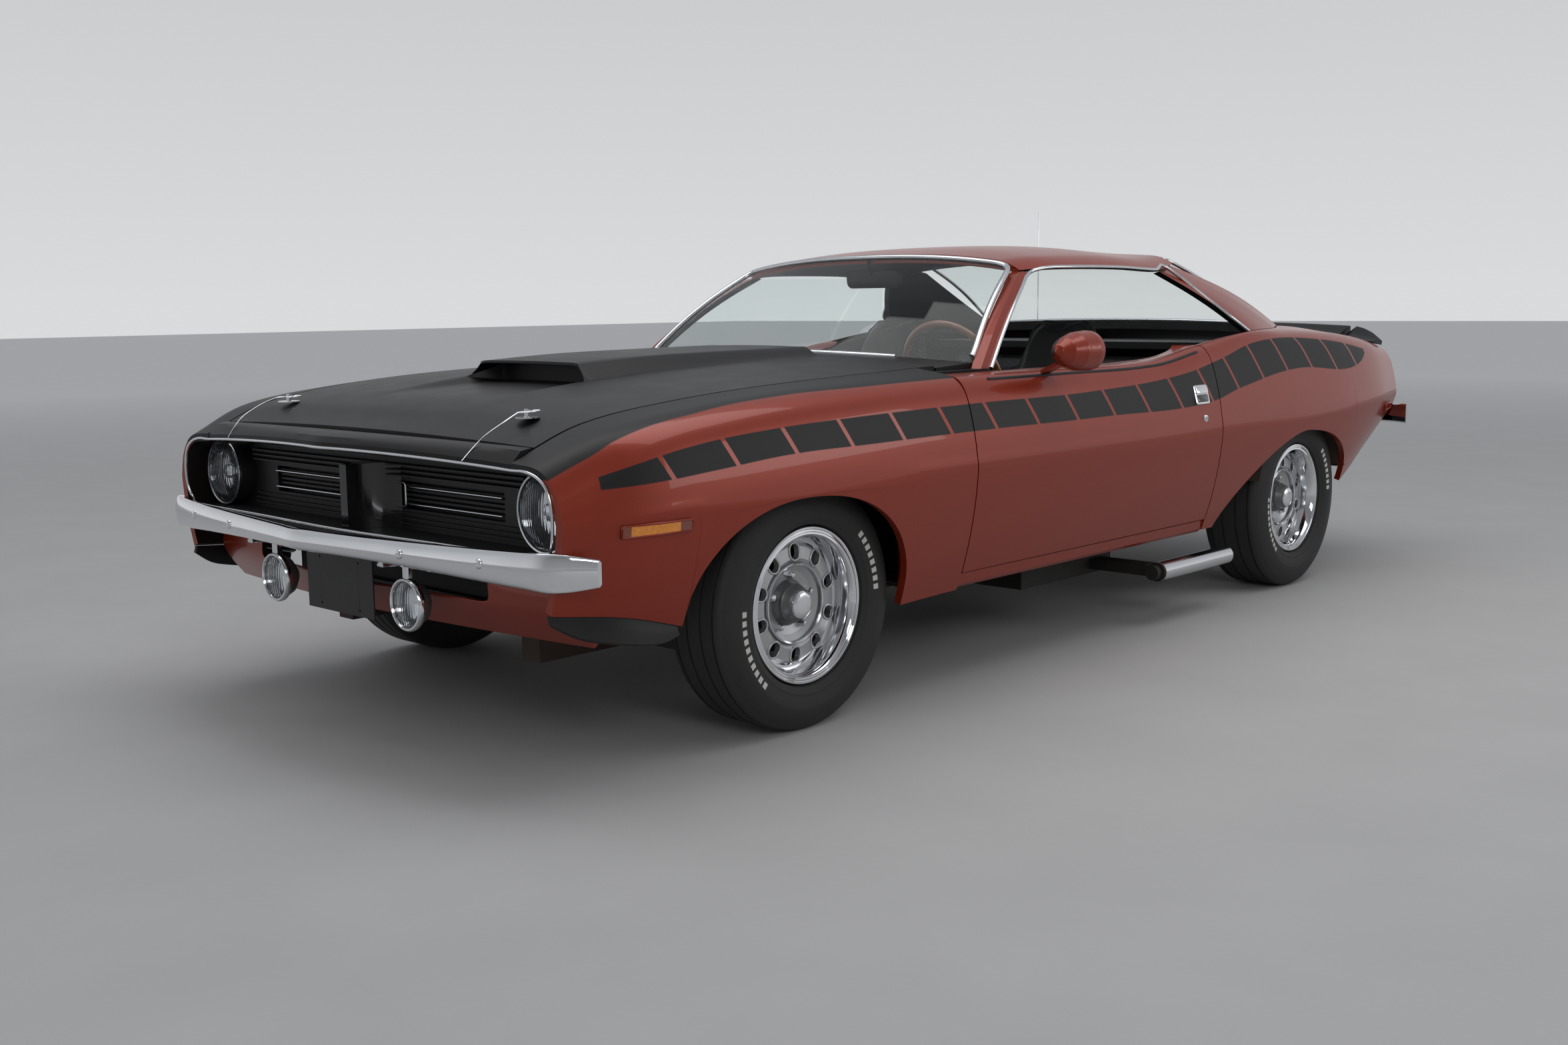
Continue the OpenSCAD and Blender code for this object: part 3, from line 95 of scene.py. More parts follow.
class Shade:
    """A node material: a principled surface whose inputs are made from small expressions."""

    INPUTS = {"color": "Base Color", "rough": "Roughness", "metal": "Metallic", "coat": "Coat Weight",
              "coat_rough": "Coat Roughness", "ior": "IOR", "clear": "Transmission Weight",
              "specular": "Specular IOR Level", "sheen": "Sheen Weight"}

    def __init__(self, name):
        self.m = bpy.data.materials.new(name)
        self.m.use_nodes = True
        self.t = self.m.node_tree
        self.p = self.t.nodes["Principled BSDF"]
        coord = self.t.nodes.new("ShaderNodeTexCoord")
        self.pos = coord.outputs["Object"]
        split = self.t.nodes.new("ShaderNodeSeparateXYZ")
        self.t.links.new(self.pos, split.inputs[0])
        self.x, self.y, self.z = split.outputs
        face = self.t.nodes.new("ShaderNodeSeparateXYZ")
        self.t.links.new(coord.outputs["Normal"], face.inputs[0])
        self.facing_y, self.facing_z = face.outputs[1], face.outputs[2]

    def put(self, value, socket):
        """Gives an input another node's output, a colour or a number."""
        if isinstance(value, bpy.types.NodeSocket):
            self.t.links.new(value, socket)
        else:
            socket.default_value = (*value, 1) if isinstance(value, tuple) else value

    def math(self, op, a, b=0.0, clamp=False):
        n = self.t.nodes.new("ShaderNodeMath")
        n.operation, n.use_clamp = op, clamp
        self.put(a, n.inputs[0])
        self.put(b, n.inputs[1])
        return n.outputs[0]

    def length(self, *parts):
        """The length of a vector with these parts."""
        total = self.math("MULTIPLY", parts[0], parts[0])
        for p in parts[1:]:
            total = self.math("ADD", total, self.math("MULTIPLY", p, p))
        return self.math("SQRT", total)

    def from_axle(self, centre):
        """Distance from a wheel's axle."""
        return self.length(self.math("SUBTRACT", self.x, centre.x), self.math("SUBTRACT", self.z, centre.z))

    def step(self, a, edge, soft=0.0012):
        """0 below edge and 1 above, over a short ramp."""
        d = self.math("SUBTRACT", a, edge)
        return self.math("ADD", self.math("DIVIDE", d, 2 * soft), 0.5, clamp=True)

    def both(self, *masks):
        out = masks[0]
        for m in masks[1:]:
            out = self.math("MULTIPLY", out, m)
        return out

    def curve(self, a, points, lo=0.0, hi=1.2):
        """A smooth height over a length: points are (length, height)."""
        x0, x1 = points[0][0], points[-1][0]
        n = self.t.nodes.new("ShaderNodeFloatCurve")
        c = n.mapping.curves[0]
        spots = [((x - x0) / (x1 - x0), (z - lo) / (hi - lo)) for x, z in points]
        c.points[0].location, c.points[-1].location = spots[0], spots[-1]
        for spot in spots[1:-1]:
            c.points.new(*spot)
        n.mapping.update()
        share = self.math("DIVIDE", self.math("SUBTRACT", a, x0), x1 - x0, clamp=True)
        self.put(share, n.inputs["Value"])
        return self.math("ADD", self.math("MULTIPLY", n.outputs[0], hi - lo), lo)

    def noise(self, scale, detail=3.0, stretch=(1, 1, 1)):
        m = self.t.nodes.new("ShaderNodeMapping")
        m.inputs["Scale"].default_value = stretch
        self.t.links.new(self.pos, m.inputs[0])
        n = self.t.nodes.new("ShaderNodeTexNoise")
        n.inputs["Scale"].default_value = scale
        n.inputs["Detail"].default_value = detail
        self.t.links.new(m.outputs[0], n.inputs["Vector"])
        return n.outputs["Fac"]

    def cells(self, scale):
        """Distance and colour of a field of cells."""
        n = self.t.nodes.new("ShaderNodeTexVoronoi")
        n.inputs["Scale"].default_value = scale
        self.t.links.new(self.pos, n.inputs["Vector"])
        return n.outputs["Distance"], n.outputs["Color"]

    def mix(self, fac, a, b):
        n = self.t.nodes.new("ShaderNodeMix")
        n.data_type = "RGBA"
        self.put(fac, n.inputs[0])
        self.put(a, n.inputs[6])
        self.put(b, n.inputs[7])
        return n.outputs[2]

    def spread(self, a, lo, hi):
        return self.math("ADD", self.math("MULTIPLY", a, hi - lo), lo)

    def waves(self, a, pitch):
        return self.math("SINE", self.math("MULTIPLY", a, pitch))

    def bump(self, height, strength, distance=0.001):
        n = self.t.nodes.new("ShaderNodeBump")
        n.inputs["Strength"].default_value = strength
        n.inputs["Distance"].default_value = distance
        self.put(height, n.inputs["Height"])
        self.t.links.new(n.outputs[0], self.p.inputs["Normal"])

    def set(self, **values):
        for key, value in values.items():
            self.put(value, self.p.inputs[self.INPUTS[key]])


def plain(name, color, rough, metal=0.0, grain=60, vary=0.12, bump=0.0, bump_scale=400, **extra):
    """A material with slight mottling of colour and gloss, and fine surface grain."""
    s = Shade(name)
    n = s.noise(grain)
    dark = tuple(c * (1 - vary) for c in color)
    light = tuple(min(1, c * (1 + vary)) for c in color)
    gloss = s.spread(n, max(0.02, rough - 0.06), rough + 0.06)
    s.set(color=s.mix(n, dark, light), rough=gloss, metal=metal, **extra)
    if bump:
        s.bump(s.noise(bump_scale, 2), bump)
    return s.m


COPPER, COPPER_DARK, BLACK = (0.34, 0.034, 0.008), (0.21, 0.018, 0.005), (0.007, 0.007, 0.0075)
INNER_DARK = (0.016, 0.011, 0.010)
RED_DEEP, RED_PALE = (0.25, 0.006, 0.006), (0.50, 0.015, 0.012)
# Edges of the black areas, as (length, height) pairs along the body
FENDER_TOP = ((0.69, 0.887), (1.22, 0.879), (1.518, 0.871), (1.788, 0.848), (2.032, 0.805), (2.12, 0.766),
              (2.215, 0.722))
STRIPE_TOP = ((-1.93, 0.885), (-1.522, 0.934), (-0.998, 0.942), (-0.651, 0.884), (-0.407, 0.847),
              (0.172, 0.818), (0.761, 0.815), (1.286, 0.808), (1.579, 0.799), (1.83, 0.78), (1.99, 0.755),
              (2.228, 0.694))
STRIPE_LOW = ((-1.93, 0.875), (-1.748, 0.822), (-1.227, 0.835), (-0.782, 0.787), (-0.547, 0.748),
              (0.125, 0.739), (0.731, 0.74), (1.255, 0.737), (1.552, 0.734), (1.799, 0.717), (1.967, 0.705),
              (2.228, 0.693))
STRIPE_ENDS, BAR_PITCH, BAR_SLANT, BAR_SHARE = (-1.92, 2.118), 0.21, -0.55, 0.93


def paint(name, black=None):
    """Metallic copper under clear coat, satin black where a mask says so, dull dark on inner sides."""
    s = Shade(name)
    flake = s.cells(2600)[1]
    cloud = s.noise(1.3, 2)
    base = s.mix(flake, COPPER_DARK, COPPER)
    base = s.mix(s.math("MULTIPLY", cloud, 0.35), base, COPPER_DARK)
    side = s.math("SIGN", s.math("ADD", s.y, SHIFT))
    inner = s.step(-0.25, s.math("MULTIPLY", s.facing_y, side), 0.05)
    mask = black(s) if black else 0.0
    dull = s.math("MAXIMUM", mask, inner)
    base = s.mix(inner, s.mix(mask, base, BLACK), INNER_DARK)
    s.set(color=base, metal=s.spread(dull, 0.30, 0.0), rough=s.spread(dull, 0.34, 0.46),
          coat=s.spread(dull, 0.4, 0.0), coat_rough=0.03, specular=s.spread(dull, 0.35, 0.3))
    return s.m


def stripe(s):
    """A black band along the side, cut into equal slanted bars."""
    band = s.both(s.step(s.z, s.curve(s.x, STRIPE_LOW)), s.step(s.curve(s.x, STRIPE_TOP), s.z))
    slant = s.math("ADD", s.x, s.math("MULTIPLY", s.z, BAR_SLANT))
    # Ten metres are added to keep the fraction's argument above zero
    place = s.math("FRACT", s.math("DIVIDE", s.math("ADD", slant, 10.0), BAR_PITCH))
    slit = s.step(place, BAR_SHARE, 0.004)
    ends = s.step(s.x, STRIPE_ENDS[0]), s.step(STRIPE_ENDS[1], s.x)
    return s.both(band, s.math("SUBTRACT", 1.0, slit), *ends)


def lining(s):
    """Dark head lining: the faces that look down."""
    return s.step(-0.45, s.facing_z, 0.05)


def fender_black(s):
    """The stripe, and the fender's top as far as the hood's black reaches."""
    return s.math("MAXIMUM", stripe(s), s.step(s.z, s.curve(s.x, FENDER_TOP)))


def frame_black(s):
    """Door frames are dark above the sill."""
    return s.step(s.z, 0.80)


def exhaust_steel():
    """Sooty pipe, darkened further as painted shade below the sill, with bright outlets."""
    s = Shade("exhaust_steel")
    far_out = s.step(s.math("ABSOLUTE", s.math("ADD", s.y, SHIFT)), 0.826, 0.001)
    tip = s.both(far_out, s.step(-0.33, s.x, 0.002))
    # Dark colour of the pipe: partly sooty steel, partly painted shade
    soot_and_painted_shade = s.mix(s.noise(18, 5), (0.018, 0.017, 0.016), (0.05, 0.045, 0.04))
    s.set(color=s.mix(tip, soot_and_painted_shade, (0.74, 0.75, 0.77)), metal=s.spread(tip, 0.5, 1.0),
          rough=s.spread(tip, 0.6, 0.12))
    return s.m


def wood_rim(hub=(0.171, 0.385 - SHIFT, 0.856), rim_radius=0.185):
    """Wood on the steering wheel's rim, dark metal on its spokes and hub."""
    s = Shade("wood_rim")
    rings = s.noise(16, 6, (1, 1, 6))
    away = s.length(*(s.math("SUBTRACT", a, b) for a, b in zip((s.x, s.y, s.z), hub)))
    grip = s.step(away, rim_radius - 0.016, 0.001)
    grain = s.mix(rings, (0.10, 0.026, 0.008), (0.24, 0.075, 0.022))
    s.set(color=s.mix(grip, (0.03, 0.03, 0.032), grain), rough=0.32, coat=0.6,
          metal=s.spread(grip, 0.7, 0.0))
    s.bump(rings, 0.1)
    return s.m


def black_vinyl():
    s = Shade("black_vinyl")
    grain, _ = s.cells(420)
    s.set(color=s.mix(s.noise(7), (0.012, 0.012, 0.013), (0.022, 0.021, 0.021)),
          rough=s.spread(s.noise(30), 0.42, 0.58), sheen=0.1)
    s.bump(grain, 0.12, 0.0004)
    return s.m


def window_glass():
    """Clear panes that don't bend the view behind them, with a reflecting coat."""
    s = Shade("window_glass")
    s.set(color=s.mix(s.noise(4), (0.90, 0.96, 0.95), (0.96, 0.99, 0.98)), rough=0.0, clear=1.0, ior=1.0005,
          specular=0.5, coat=0.35, coat_rough=0.0)
    return s.m


def lamp_lens():
    s = Shade("lamp_lens")
    s.set(color=s.mix(s.noise(40), (0.86, 0.90, 0.92), (0.97, 0.98, 1.0)), rough=0.0, clear=1.0, ior=1.18)
    s.bump(s.waves(s.y, 700.0), 0.22, 0.0012)
    return s.m


def red_lens():
    s = Shade("red_lens")
    cell, _ = s.cells(180)
    s.set(color=s.mix(cell, RED_DEEP, RED_PALE), rough=0.08, coat=1.0, coat_rough=0.02)
    s.bump(cell, 0.35, 0.001)
    return s.m


def marker_lens():
    """Side markers: red at the rear, amber in a copper frame at the front."""
    s = Shade("marker_lens")
    cell, _ = s.cells(180)
    front = s.step(s.x, 0.0)
    lit = s.both(front, s.step(s.x, 1.93), s.step(2.062, s.x))
    shell = s.mix(front, s.mix(cell, RED_DEEP, RED_PALE), (0.20, 0.035, 0.012))
    amber = s.mix(cell, (0.62, 0.18, 0.01), (0.90, 0.33, 0.02))
    s.set(color=s.mix(lit, shell, amber), rough=0.09, coat=1.0, coat_rough=0.02)
    s.bump(cell, 0.3, 0.001)
    return s.m


def wheel_paint(w):
    """Silver slotted disc, bright trim ring and grey centre cap, by distance from the axle."""
    s = Shade("wheel_%s_metal" % w.tag)
    rad = s.from_axle(w.centre)
    ring = s.step(rad, 0.157)
    nose = s.step(0.038, rad)
    cap = s.both(s.step(0.062, rad), s.math("SUBTRACT", 1.0, nose))
    c = s.mix(s.noise(700), (0.42, 0.43, 0.44), (0.50, 0.51, 0.52))
    c = s.mix(ring, c, (0.78, 0.79, 0.81))
    c = s.mix(cap, c, (0.16, 0.165, 0.17))
    c = s.mix(nose, c, (0.75, 0.76, 0.78))
    shine = s.math("MAXIMUM", ring, nose)
    s.set(color=c, metal=s.spread(shine, 0.75, 1.0), rough=s.spread(shine, 0.38, 0.10))
    return s.m


def tyre_rubber(w):
    """Rubber with a dusty tread and fine side rings."""
    s = Shade("tyre_%s_rubber" % w.tag)
    rad = s.from_axle(w.centre)
    tread = s.step(rad, w.radius - 0.012, 0.004)
    dust = s.noise(22, 4)
    c = s.mix(dust, (0.013, 0.013, 0.014), (0.026, 0.025, 0.024))
    c = s.mix(s.math("MULTIPLY", tread, 0.6), c, (0.035, 0.034, 0.033))
    s.set(color=c, rough=s.spread(dust, 0.62, 0.8))
    s.bump(s.waves(rad, 2400.0), 0.12, 0.0006)
    return s.m


M = {
    "paint": paint("copper_paint"),
    "side_paint": paint("copper_paint_striped", stripe),
    "fender_paint": paint("copper_paint_blackout", fender_black),
    "roof_paint": paint("copper_paint_lined", lining),
    "frame_paint": paint("copper_paint_frames", frame_black),
    "satin_black": plain("satin_black_paint", (0.008, 0.008, 0.0085), 0.44, grain=9, bump=0.06,
                         bump_scale=900, specular=0.3),
    "chassis": plain("chassis_black", (0.02, 0.021, 0.022), 0.6, bump=0.25),
    "underbody": plain("underbody_paint", (0.05, 0.03, 0.022), 0.75, bump=0.4, bump_scale=220),
    "engine": plain("engine_paint", (0.30, 0.09, 0.03), 0.45, bump=0.2),
    "tank": plain("tank_steel", (0.20, 0.21, 0.22), 0.45, 0.8),
    "black_plastic": plain("black_plastic", (0.014, 0.014, 0.015), 0.5, bump=0.15, bump_scale=700),
    "chrome": plain("chrome", (0.80, 0.81, 0.83), 0.07, 1.0, grain=14, vary=0.03),
    "bright": plain("bright_trim", (0.72, 0.73, 0.75), 0.16, 1.0, grain=30, vary=0.05),
    "rubber": plain("seal_rubber", (0.012, 0.012, 0.012), 0.65, bump=0.2),
    "gloss_black": plain("gloss_black_plastic", (0.010, 0.010, 0.011), 0.16, coat=0.5),
    "cap_grey": plain("cap_grey", (0.15, 0.155, 0.16), 0.42, 0.6),
    "wheel_silver": plain("wheel_silver", (0.46, 0.47, 0.48), 0.36, 0.8, grain=300),
    "white_rubber": plain("white_rubber", (0.58, 0.57, 0.54), 0.7, grain=90),
    "reflector": plain("reflector", (0.86, 0.87, 0.88), 0.10, 1.0, grain=20, vary=0.04),
    "exhaust": exhaust_steel(), "wood": wood_rim(), "vinyl": black_vinyl(), "glass": window_glass(),
    "lens": lamp_lens(), "red_lens": red_lens(), "marker": marker_lens(),
}
# Slots of the materials whose slot has another name than their key
SLOT = {"side_paint": "paint", "fender_paint": "paint", "roof_paint": "paint", "bright": "chrome",
        "reflector": "chrome", "lens": "lamp_glass", "rubber": "black_plastic",
        "gloss_black": "black_plastic", "cap_grey": "wheel", "wheel_silver": "wheel", "white_rubber": None}

# Shapes


def shown(o):
    """An object as its modifiers leave it."""
    return o.evaluated_get(bpy.context.evaluated_depsgraph_get())


def link(name, bm, key, body="root", slot=None, smooth=True):
    """A piece of the scene from a finished mesh, with the key of its material, riding on a body."""
    mesh = bpy.data.meshes.new(name)
    bm.to_mesh(mesh)
    bm.free()
    o = add(name, mesh)
    mesh.materials.append(M[key])
    if smooth:
        for f in mesh.polygons:
            f.use_smooth = True
    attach(o, body)
    slot = slot or SLOT.get(key, key)
    return o


def split(o, degrees):
    """Edges sharper than an angle are shaded sharp."""
    o.modifiers.new("sharp", "EDGE_SPLIT").split_angle = math.radians(degrees)


def solid(name, bm, key, body="root", slot=None, smooth=True, sharp=None):
    """A closed piece with its faces turned outwards."""
    bmesh.ops.recalc_face_normals(bm, faces=bm.faces)
    o = link(name, bm, key, body, slot, smooth)
    if sharp:
        split(o, sharp)
    return o


def mend(node, sharp=32):
    """A node's mesh with its split points joined, its flat faces merged and its sharp edges marked."""
    bm = bmesh.new()
    bm.from_mesh(NODES[node].data)
    bmesh.ops.remove_doubles(bm, verts=bm.verts, dist=0.00004)
    bmesh.ops.join_triangles(bm, faces=bm.faces, angle_face_threshold=0.6, angle_shape_threshold=1.2)
    bm.normal_update()
    for e in bm.edges:
        keen = len(e.link_faces) != 2 or e.calc_face_angle(0) > math.radians(sharp)
        e.smooth = not keen
    return bm


def panel(node, key, sharp=32):
    """A smooth copy of a faceted body panel, in place of its CAD node."""
    bm = mend(node, sharp)
    crease = bm.edges.layers.float.new("crease_edge")
    for e in bm.edges:
        e[crease] = 0.0 if e.smooth else 1.0
    o = link(node + "_skin", bm, key, BODY_OF[node])
    m = o.modifiers.new("smooth", "SUBSURF")
    m.levels = m.render_levels = 2
    m.use_limit_surface = False
    # The smoothed surface is drawn back to the points that it should pass through
    want = [v.co.copy() for v in o.data.vertices]
    for _ in range(4):
        got = shown(o).to_mesh()
        moves = [w - got.vertices[i].co for i, w in enumerate(want)]
        for v, d in zip(o.data.vertices, moves):
            v.co += d * 0.9
        o.data.update()
    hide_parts(node)


def chains(edges):
    """Edges joined end to end, as lists of points."""
    near = {}
    for e in edges:
        for a, b in (e.verts, reversed(e.verts)):
            near.setdefault(a, []).append(b)
    out, left = [], set(near)
    ends = [v for v in near if len(near[v]) == 1] + list(near)
    for v in ends:
        if v not in left:
            continue
        line = [v]
        left.discard(v)
        while True:
            step = [b for b in near[line[-1]] if b in left]
            if not step:
                break
            line.append(step[0])
            left.discard(step[0])
        closed = len(line) > 2 and line[0] in near[line[-1]]
        if len(line) > 1:
            out.append(([p.co.copy() for p in line], closed))
    return out


def tube(name, lines, radius, key, body="root", resolution=3):
    """A round rod along each line: a list of points, or such a list and whether it is closed."""
    c = bpy.data.curves.new(name, "CURVE")
    c.dimensions = "3D"
    c.bevel_depth, c.bevel_resolution, c.use_fill_caps = radius, resolution, True
    for line in lines:
        points, closed = line if isinstance(line, tuple) else (line, False)
        sp = c.splines.new("POLY")
        sp.points.add(len(points) - 1)
        for q, p in zip(sp.points, points):
            q.co = (*p, 1)
        sp.use_cyclic_u = closed
    o = add(name + "_curve", c)
    bm = bmesh.new()
    bm.from_mesh(shown(o).to_mesh())
    bpy.data.objects.remove(o)
    return link(name, bm, key, body)


def rim(node, sharp=32):
    """The sharp edges of a node, joined into lines."""
    bm = mend(node, sharp)
    lines = chains([e for e in bm.edges if not e.smooth and e.calc_length() > 0.009])
    bm.free()
    return lines


def relax(points, times=14, gap=0.012):
    """A closed line with even points and rounded corners."""
    out = []
    for a, b in zip(points, points[1:] + points[:1]):
        n = max(1, round((b - a).length / gap))
        out += [a.lerp(b, i / n) for i in range(n)]
    for _ in range(times):
        out = [(out[i - 1] + 2 * out[i] + out[(i + 1) % len(out)]) / 4 for i in range(len(out))]
    return out


def outer(lines, way):
    """The points of the long line that lies farthest along a direction."""
    rows = [points for points, _ in lines]
    rows = [p for p in rows if len(p) > 20] or rows
    return max(rows, key=lambda row: sum(p.dot(way) for p in row) / len(row))


def lathe(bm, profile, centre, axis="y", steps=64, closed=True, turn=1):
    """Turns (radius, offset) pairs about an axis through a point."""
    rows = []
    for i in range(steps):
        a = 2 * math.pi * i / steps
        row = []
        for rad, off in profile:
            c, s = rad * math.cos(a), rad * math.sin(a)
            p = (c, off * turn, s) if axis == "y" else (off * turn, c, s)
            row.append(bm.verts.new(Vector(centre) + Vector(p)))
        rows.append(row)
    n = len(profile)
    for i in range(steps):
        a, b = rows[i], rows[(i + 1) % steps]
        for k in range(n if closed else n - 1):
            bm.faces.new((a[k], a[(k + 1) % n], b[(k + 1) % n], b[k]))


def prism(bm, points, offset):
    """A block between an outline and the same outline moved by an offset."""
    loft(bm, [points, [Vector(p) + Vector(offset) for p in points]])


def loft(bm, loops):
    """A closed body through loops of points."""
    rings = [[bm.verts.new(p) for p in loop] for loop in loops]
    n = len(rings[0])
    for a, b in zip(rings, rings[1:]):
        for i in range(n):
            bm.faces.new((a[i], a[(i + 1) % n], b[(i + 1) % n], b[i]))
    bm.faces.new(rings[0][::-1])
    bm.faces.new(rings[-1])


def smooth_line(points, steps=6, closed=False):
    """A smooth line through points."""
    n, out = len(points), []
    for i in range(n if closed else n - 1):
        near = (k % n if closed else min(max(k, 0), n - 1) for k in (i - 1, i, i + 1, i + 2))
        p, q, r, t = (Vector(points[k]) for k in near)
        for u in (k / steps for k in range(steps)):
            square, cube = 2 * p - 5 * q + 4 * r - t, 3 * q - p - 3 * r + t
            out.append(0.5 * (2 * q + (r - p) * u + square * u * u + cube * u ** 3))
    return out if closed else out + [Vector(points[-1])]


def tree_of(mesh):
    return BVHTree.FromPolygons([v.co for v in mesh.vertices], [tuple(p.vertices) for p in mesh.polygons])


def hit(node, start, way):
    """Where a ray first meets a node, and the face's normal there."""
    place, normal, _, _ = tree_of(NODES[node].data).ray_cast(Vector(start), Vector(way))
    return place, normal


def turned(name, profile, centres, axis, key, body="root", turn=1, steps=64, slot=None):
    """A turned shape at one or more places, from (radius, offset) pairs."""
    bm = bmesh.new()
    for c in centres:
        lathe(bm, profile, c, axis, steps, turn=turn)
    return solid(name, bm, key, body, slot, sharp=35)


def skin(profile, thick):
    """A turned shell: an open (radius, offset) line and the same line set back."""
    return profile + [(max(0.0004, a - thick * 0.3), b - thick) for a, b in reversed(profile)]


def stadium(half_x, half_y, r, n=6):
    """A flat outline with round corners."""
    out = []
    for k, (sx, sy) in enumerate(((1, 1), (-1, 1), (-1, -1), (1, -1))):
        for i in range(n + 1):
            a = math.pi / 2 * (k + i / n)
            out.append((sx * (half_x - r) + r * math.cos(a), sy * (half_y - r) + r * math.sin(a)))
    return out


def plate(name, outline, centre, right, up, low, high, key, body="root"):
    """A flat piece on a surface, between two heights above it."""
    right, up = Vector(right).normalized(), Vector(up).normalized()
    out = right.cross(up).normalized()
    bm = bmesh.new()
    prism(bm, [Vector(centre) + right * a + up * b + out * low for a, b in outline], out * (high - low))
    o = solid(name, bm, key, body)
    b = o.modifiers.new("edge", "BEVEL")
    b.width, b.segments, b.limit_method = min(0.0012, (high - low) * 0.4), 2, "ANGLE"
    split(o, 40)


def dress(node, material):
    mesh = NODES[node].data
    mesh.materials.clear()
    mesh.materials.append(material)


# Body panels

for end, _ in SIDES:
    panel("fender_" + end, "fender_paint")
    panel("door_" + end, "side_paint")
    panel("quarter_" + end, "side_paint")
for name in ("roof", "screen_pillars", "sail_panels", "trunk_lid"):
    panel(name, "roof_paint")
panel("rear_shelf", "vinyl")
for name in ("hood", "nose", "spoiler", "spoiler_ends", "chin_spoilers"):
    panel(name, "satin_black")
panel("front_valance", "paint")
for name in ("front_bumper", "rear_bumper"):
    panel(name, "chrome", sharp=40)
panel("mirror_left", "paint", sharp=50)

# Materials on the CAD pieces that stay

STAY = {
    "chassis": "core_support aprons front_suspension knuckle_left knuckle_right", "engine": "engine",
    "tank": "fuel_tank", "exhaust": "exhaust", "underbody": "floor_pan", "frame_paint": "side_frames",
    "satin_black": "firewall tail_panel", "black_plastic": "grille number_plate", "marker": "side_markers",
    "glass": "windscreen rear_window door_glass_right quarter_glass_right", "red_lens": "tail_lamps",
    "vinyl": "dashboard", "wood": "steering_wheel", "chrome": "hood_pins", "bright": "antenna",
}
for key, nodes in STAY.items():
    for node in nodes.split():
        dress(node, M[key])
        o = NODES[node]
        if key != "glass" and not any(m.type == "BEVEL" for m in o.modifiers):
            o.modifiers.new("weld", "WELD").merge_threshold = 0.00004

# The rear axle's ends are drawn a hair slimmer, so that the facets of a turned wheel clear them

AXLE_END_Y, AXLE_SLIM = 0.66, 0.95
bm = bmesh.new()
bm.from_mesh(NODES["rear_axle"].data)
for v in bm.verts:
    if abs(v.co.y + SHIFT) > AXLE_END_Y:
        v.co.x = REAR.x + (v.co.x - REAR.x) * AXLE_SLIM
        v.co.z = REAR.radius + (v.co.z - REAR.radius) * AXLE_SLIM
o = link("rear_axle_slim", bm, "chassis")
split(o, 35)
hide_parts("rear_axle")

# Wheels and tyres. Profiles are (radius, offset from the wheel's middle)


def tyre(w):
    """Tyre with a grooved tread and a rounded side, in place of its CAD node."""
    r, h = w.radius, w.width / 2
    tread = []
    for share in (-0.62, -0.22, 0.22, 0.62):
        g0, g1 = share * h - 0.004, share * h + 0.004
        tread += [(r - 0.0004, g0), (r - 0.007, g0 + 0.001), (r - 0.007, g1 - 0.001), (r - 0.0004, g1)]
    bead = w.width * RIM_HALF - 0.0135
    half = [(0.1905, bead), (0.206, bead), (0.212, 0.86 * h), (0.226, 0.925 * h), (0.229, 0.945 * h),
            (0.232, 0.94 * h), (0.240, 0.975 * h), (0.262, 0.995 * h), (0.266, 0.999 * h),
            (0.270, 0.995 * h), (0.288, 0.965 * h), (r - 0.022, 0.90 * h), (r - 0.010, 0.83 * h),
            (r - 0.004, 0.765 * h), (r - 0.001, 0.70 * h)]
    bm = bmesh.new()
    lathe(bm, [(a, -b) for a, b in half] + tread + half[::-1], w.centre, steps=96)
    M["tyre_" + w.tag] = tyre_rubber(w)
    o = solid("tyre_%s_tread" % w.tag, bm, "tyre_" + w.tag, w.body, "tyre", sharp=38)
    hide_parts("tyre_" + w.tag)


def nuts(w, circle=0.073, count=5):
    """Wheel nuts in a circle on the disc."""
    profile = [(0.0, 0.024), (0.006, 0.023), (0.0095, 0.018), (0.0105, 0.004), (0.0125, -0.006)]
    face = w.side * (w.width * RIM_HALF * DISC_AT - 0.012)
    bm = bmesh.new()
    for i in range(count):
        a = 2 * math.pi * (i + 0.25) / count
        spot = w.centre + Vector((circle * math.cos(a), face, circle * math.sin(a)))
        lathe(bm, profile, spot, steps=6, closed=False, turn=w.side)
    solid("nuts_" + w.tag, bm, "bright", w.body, smooth=False)


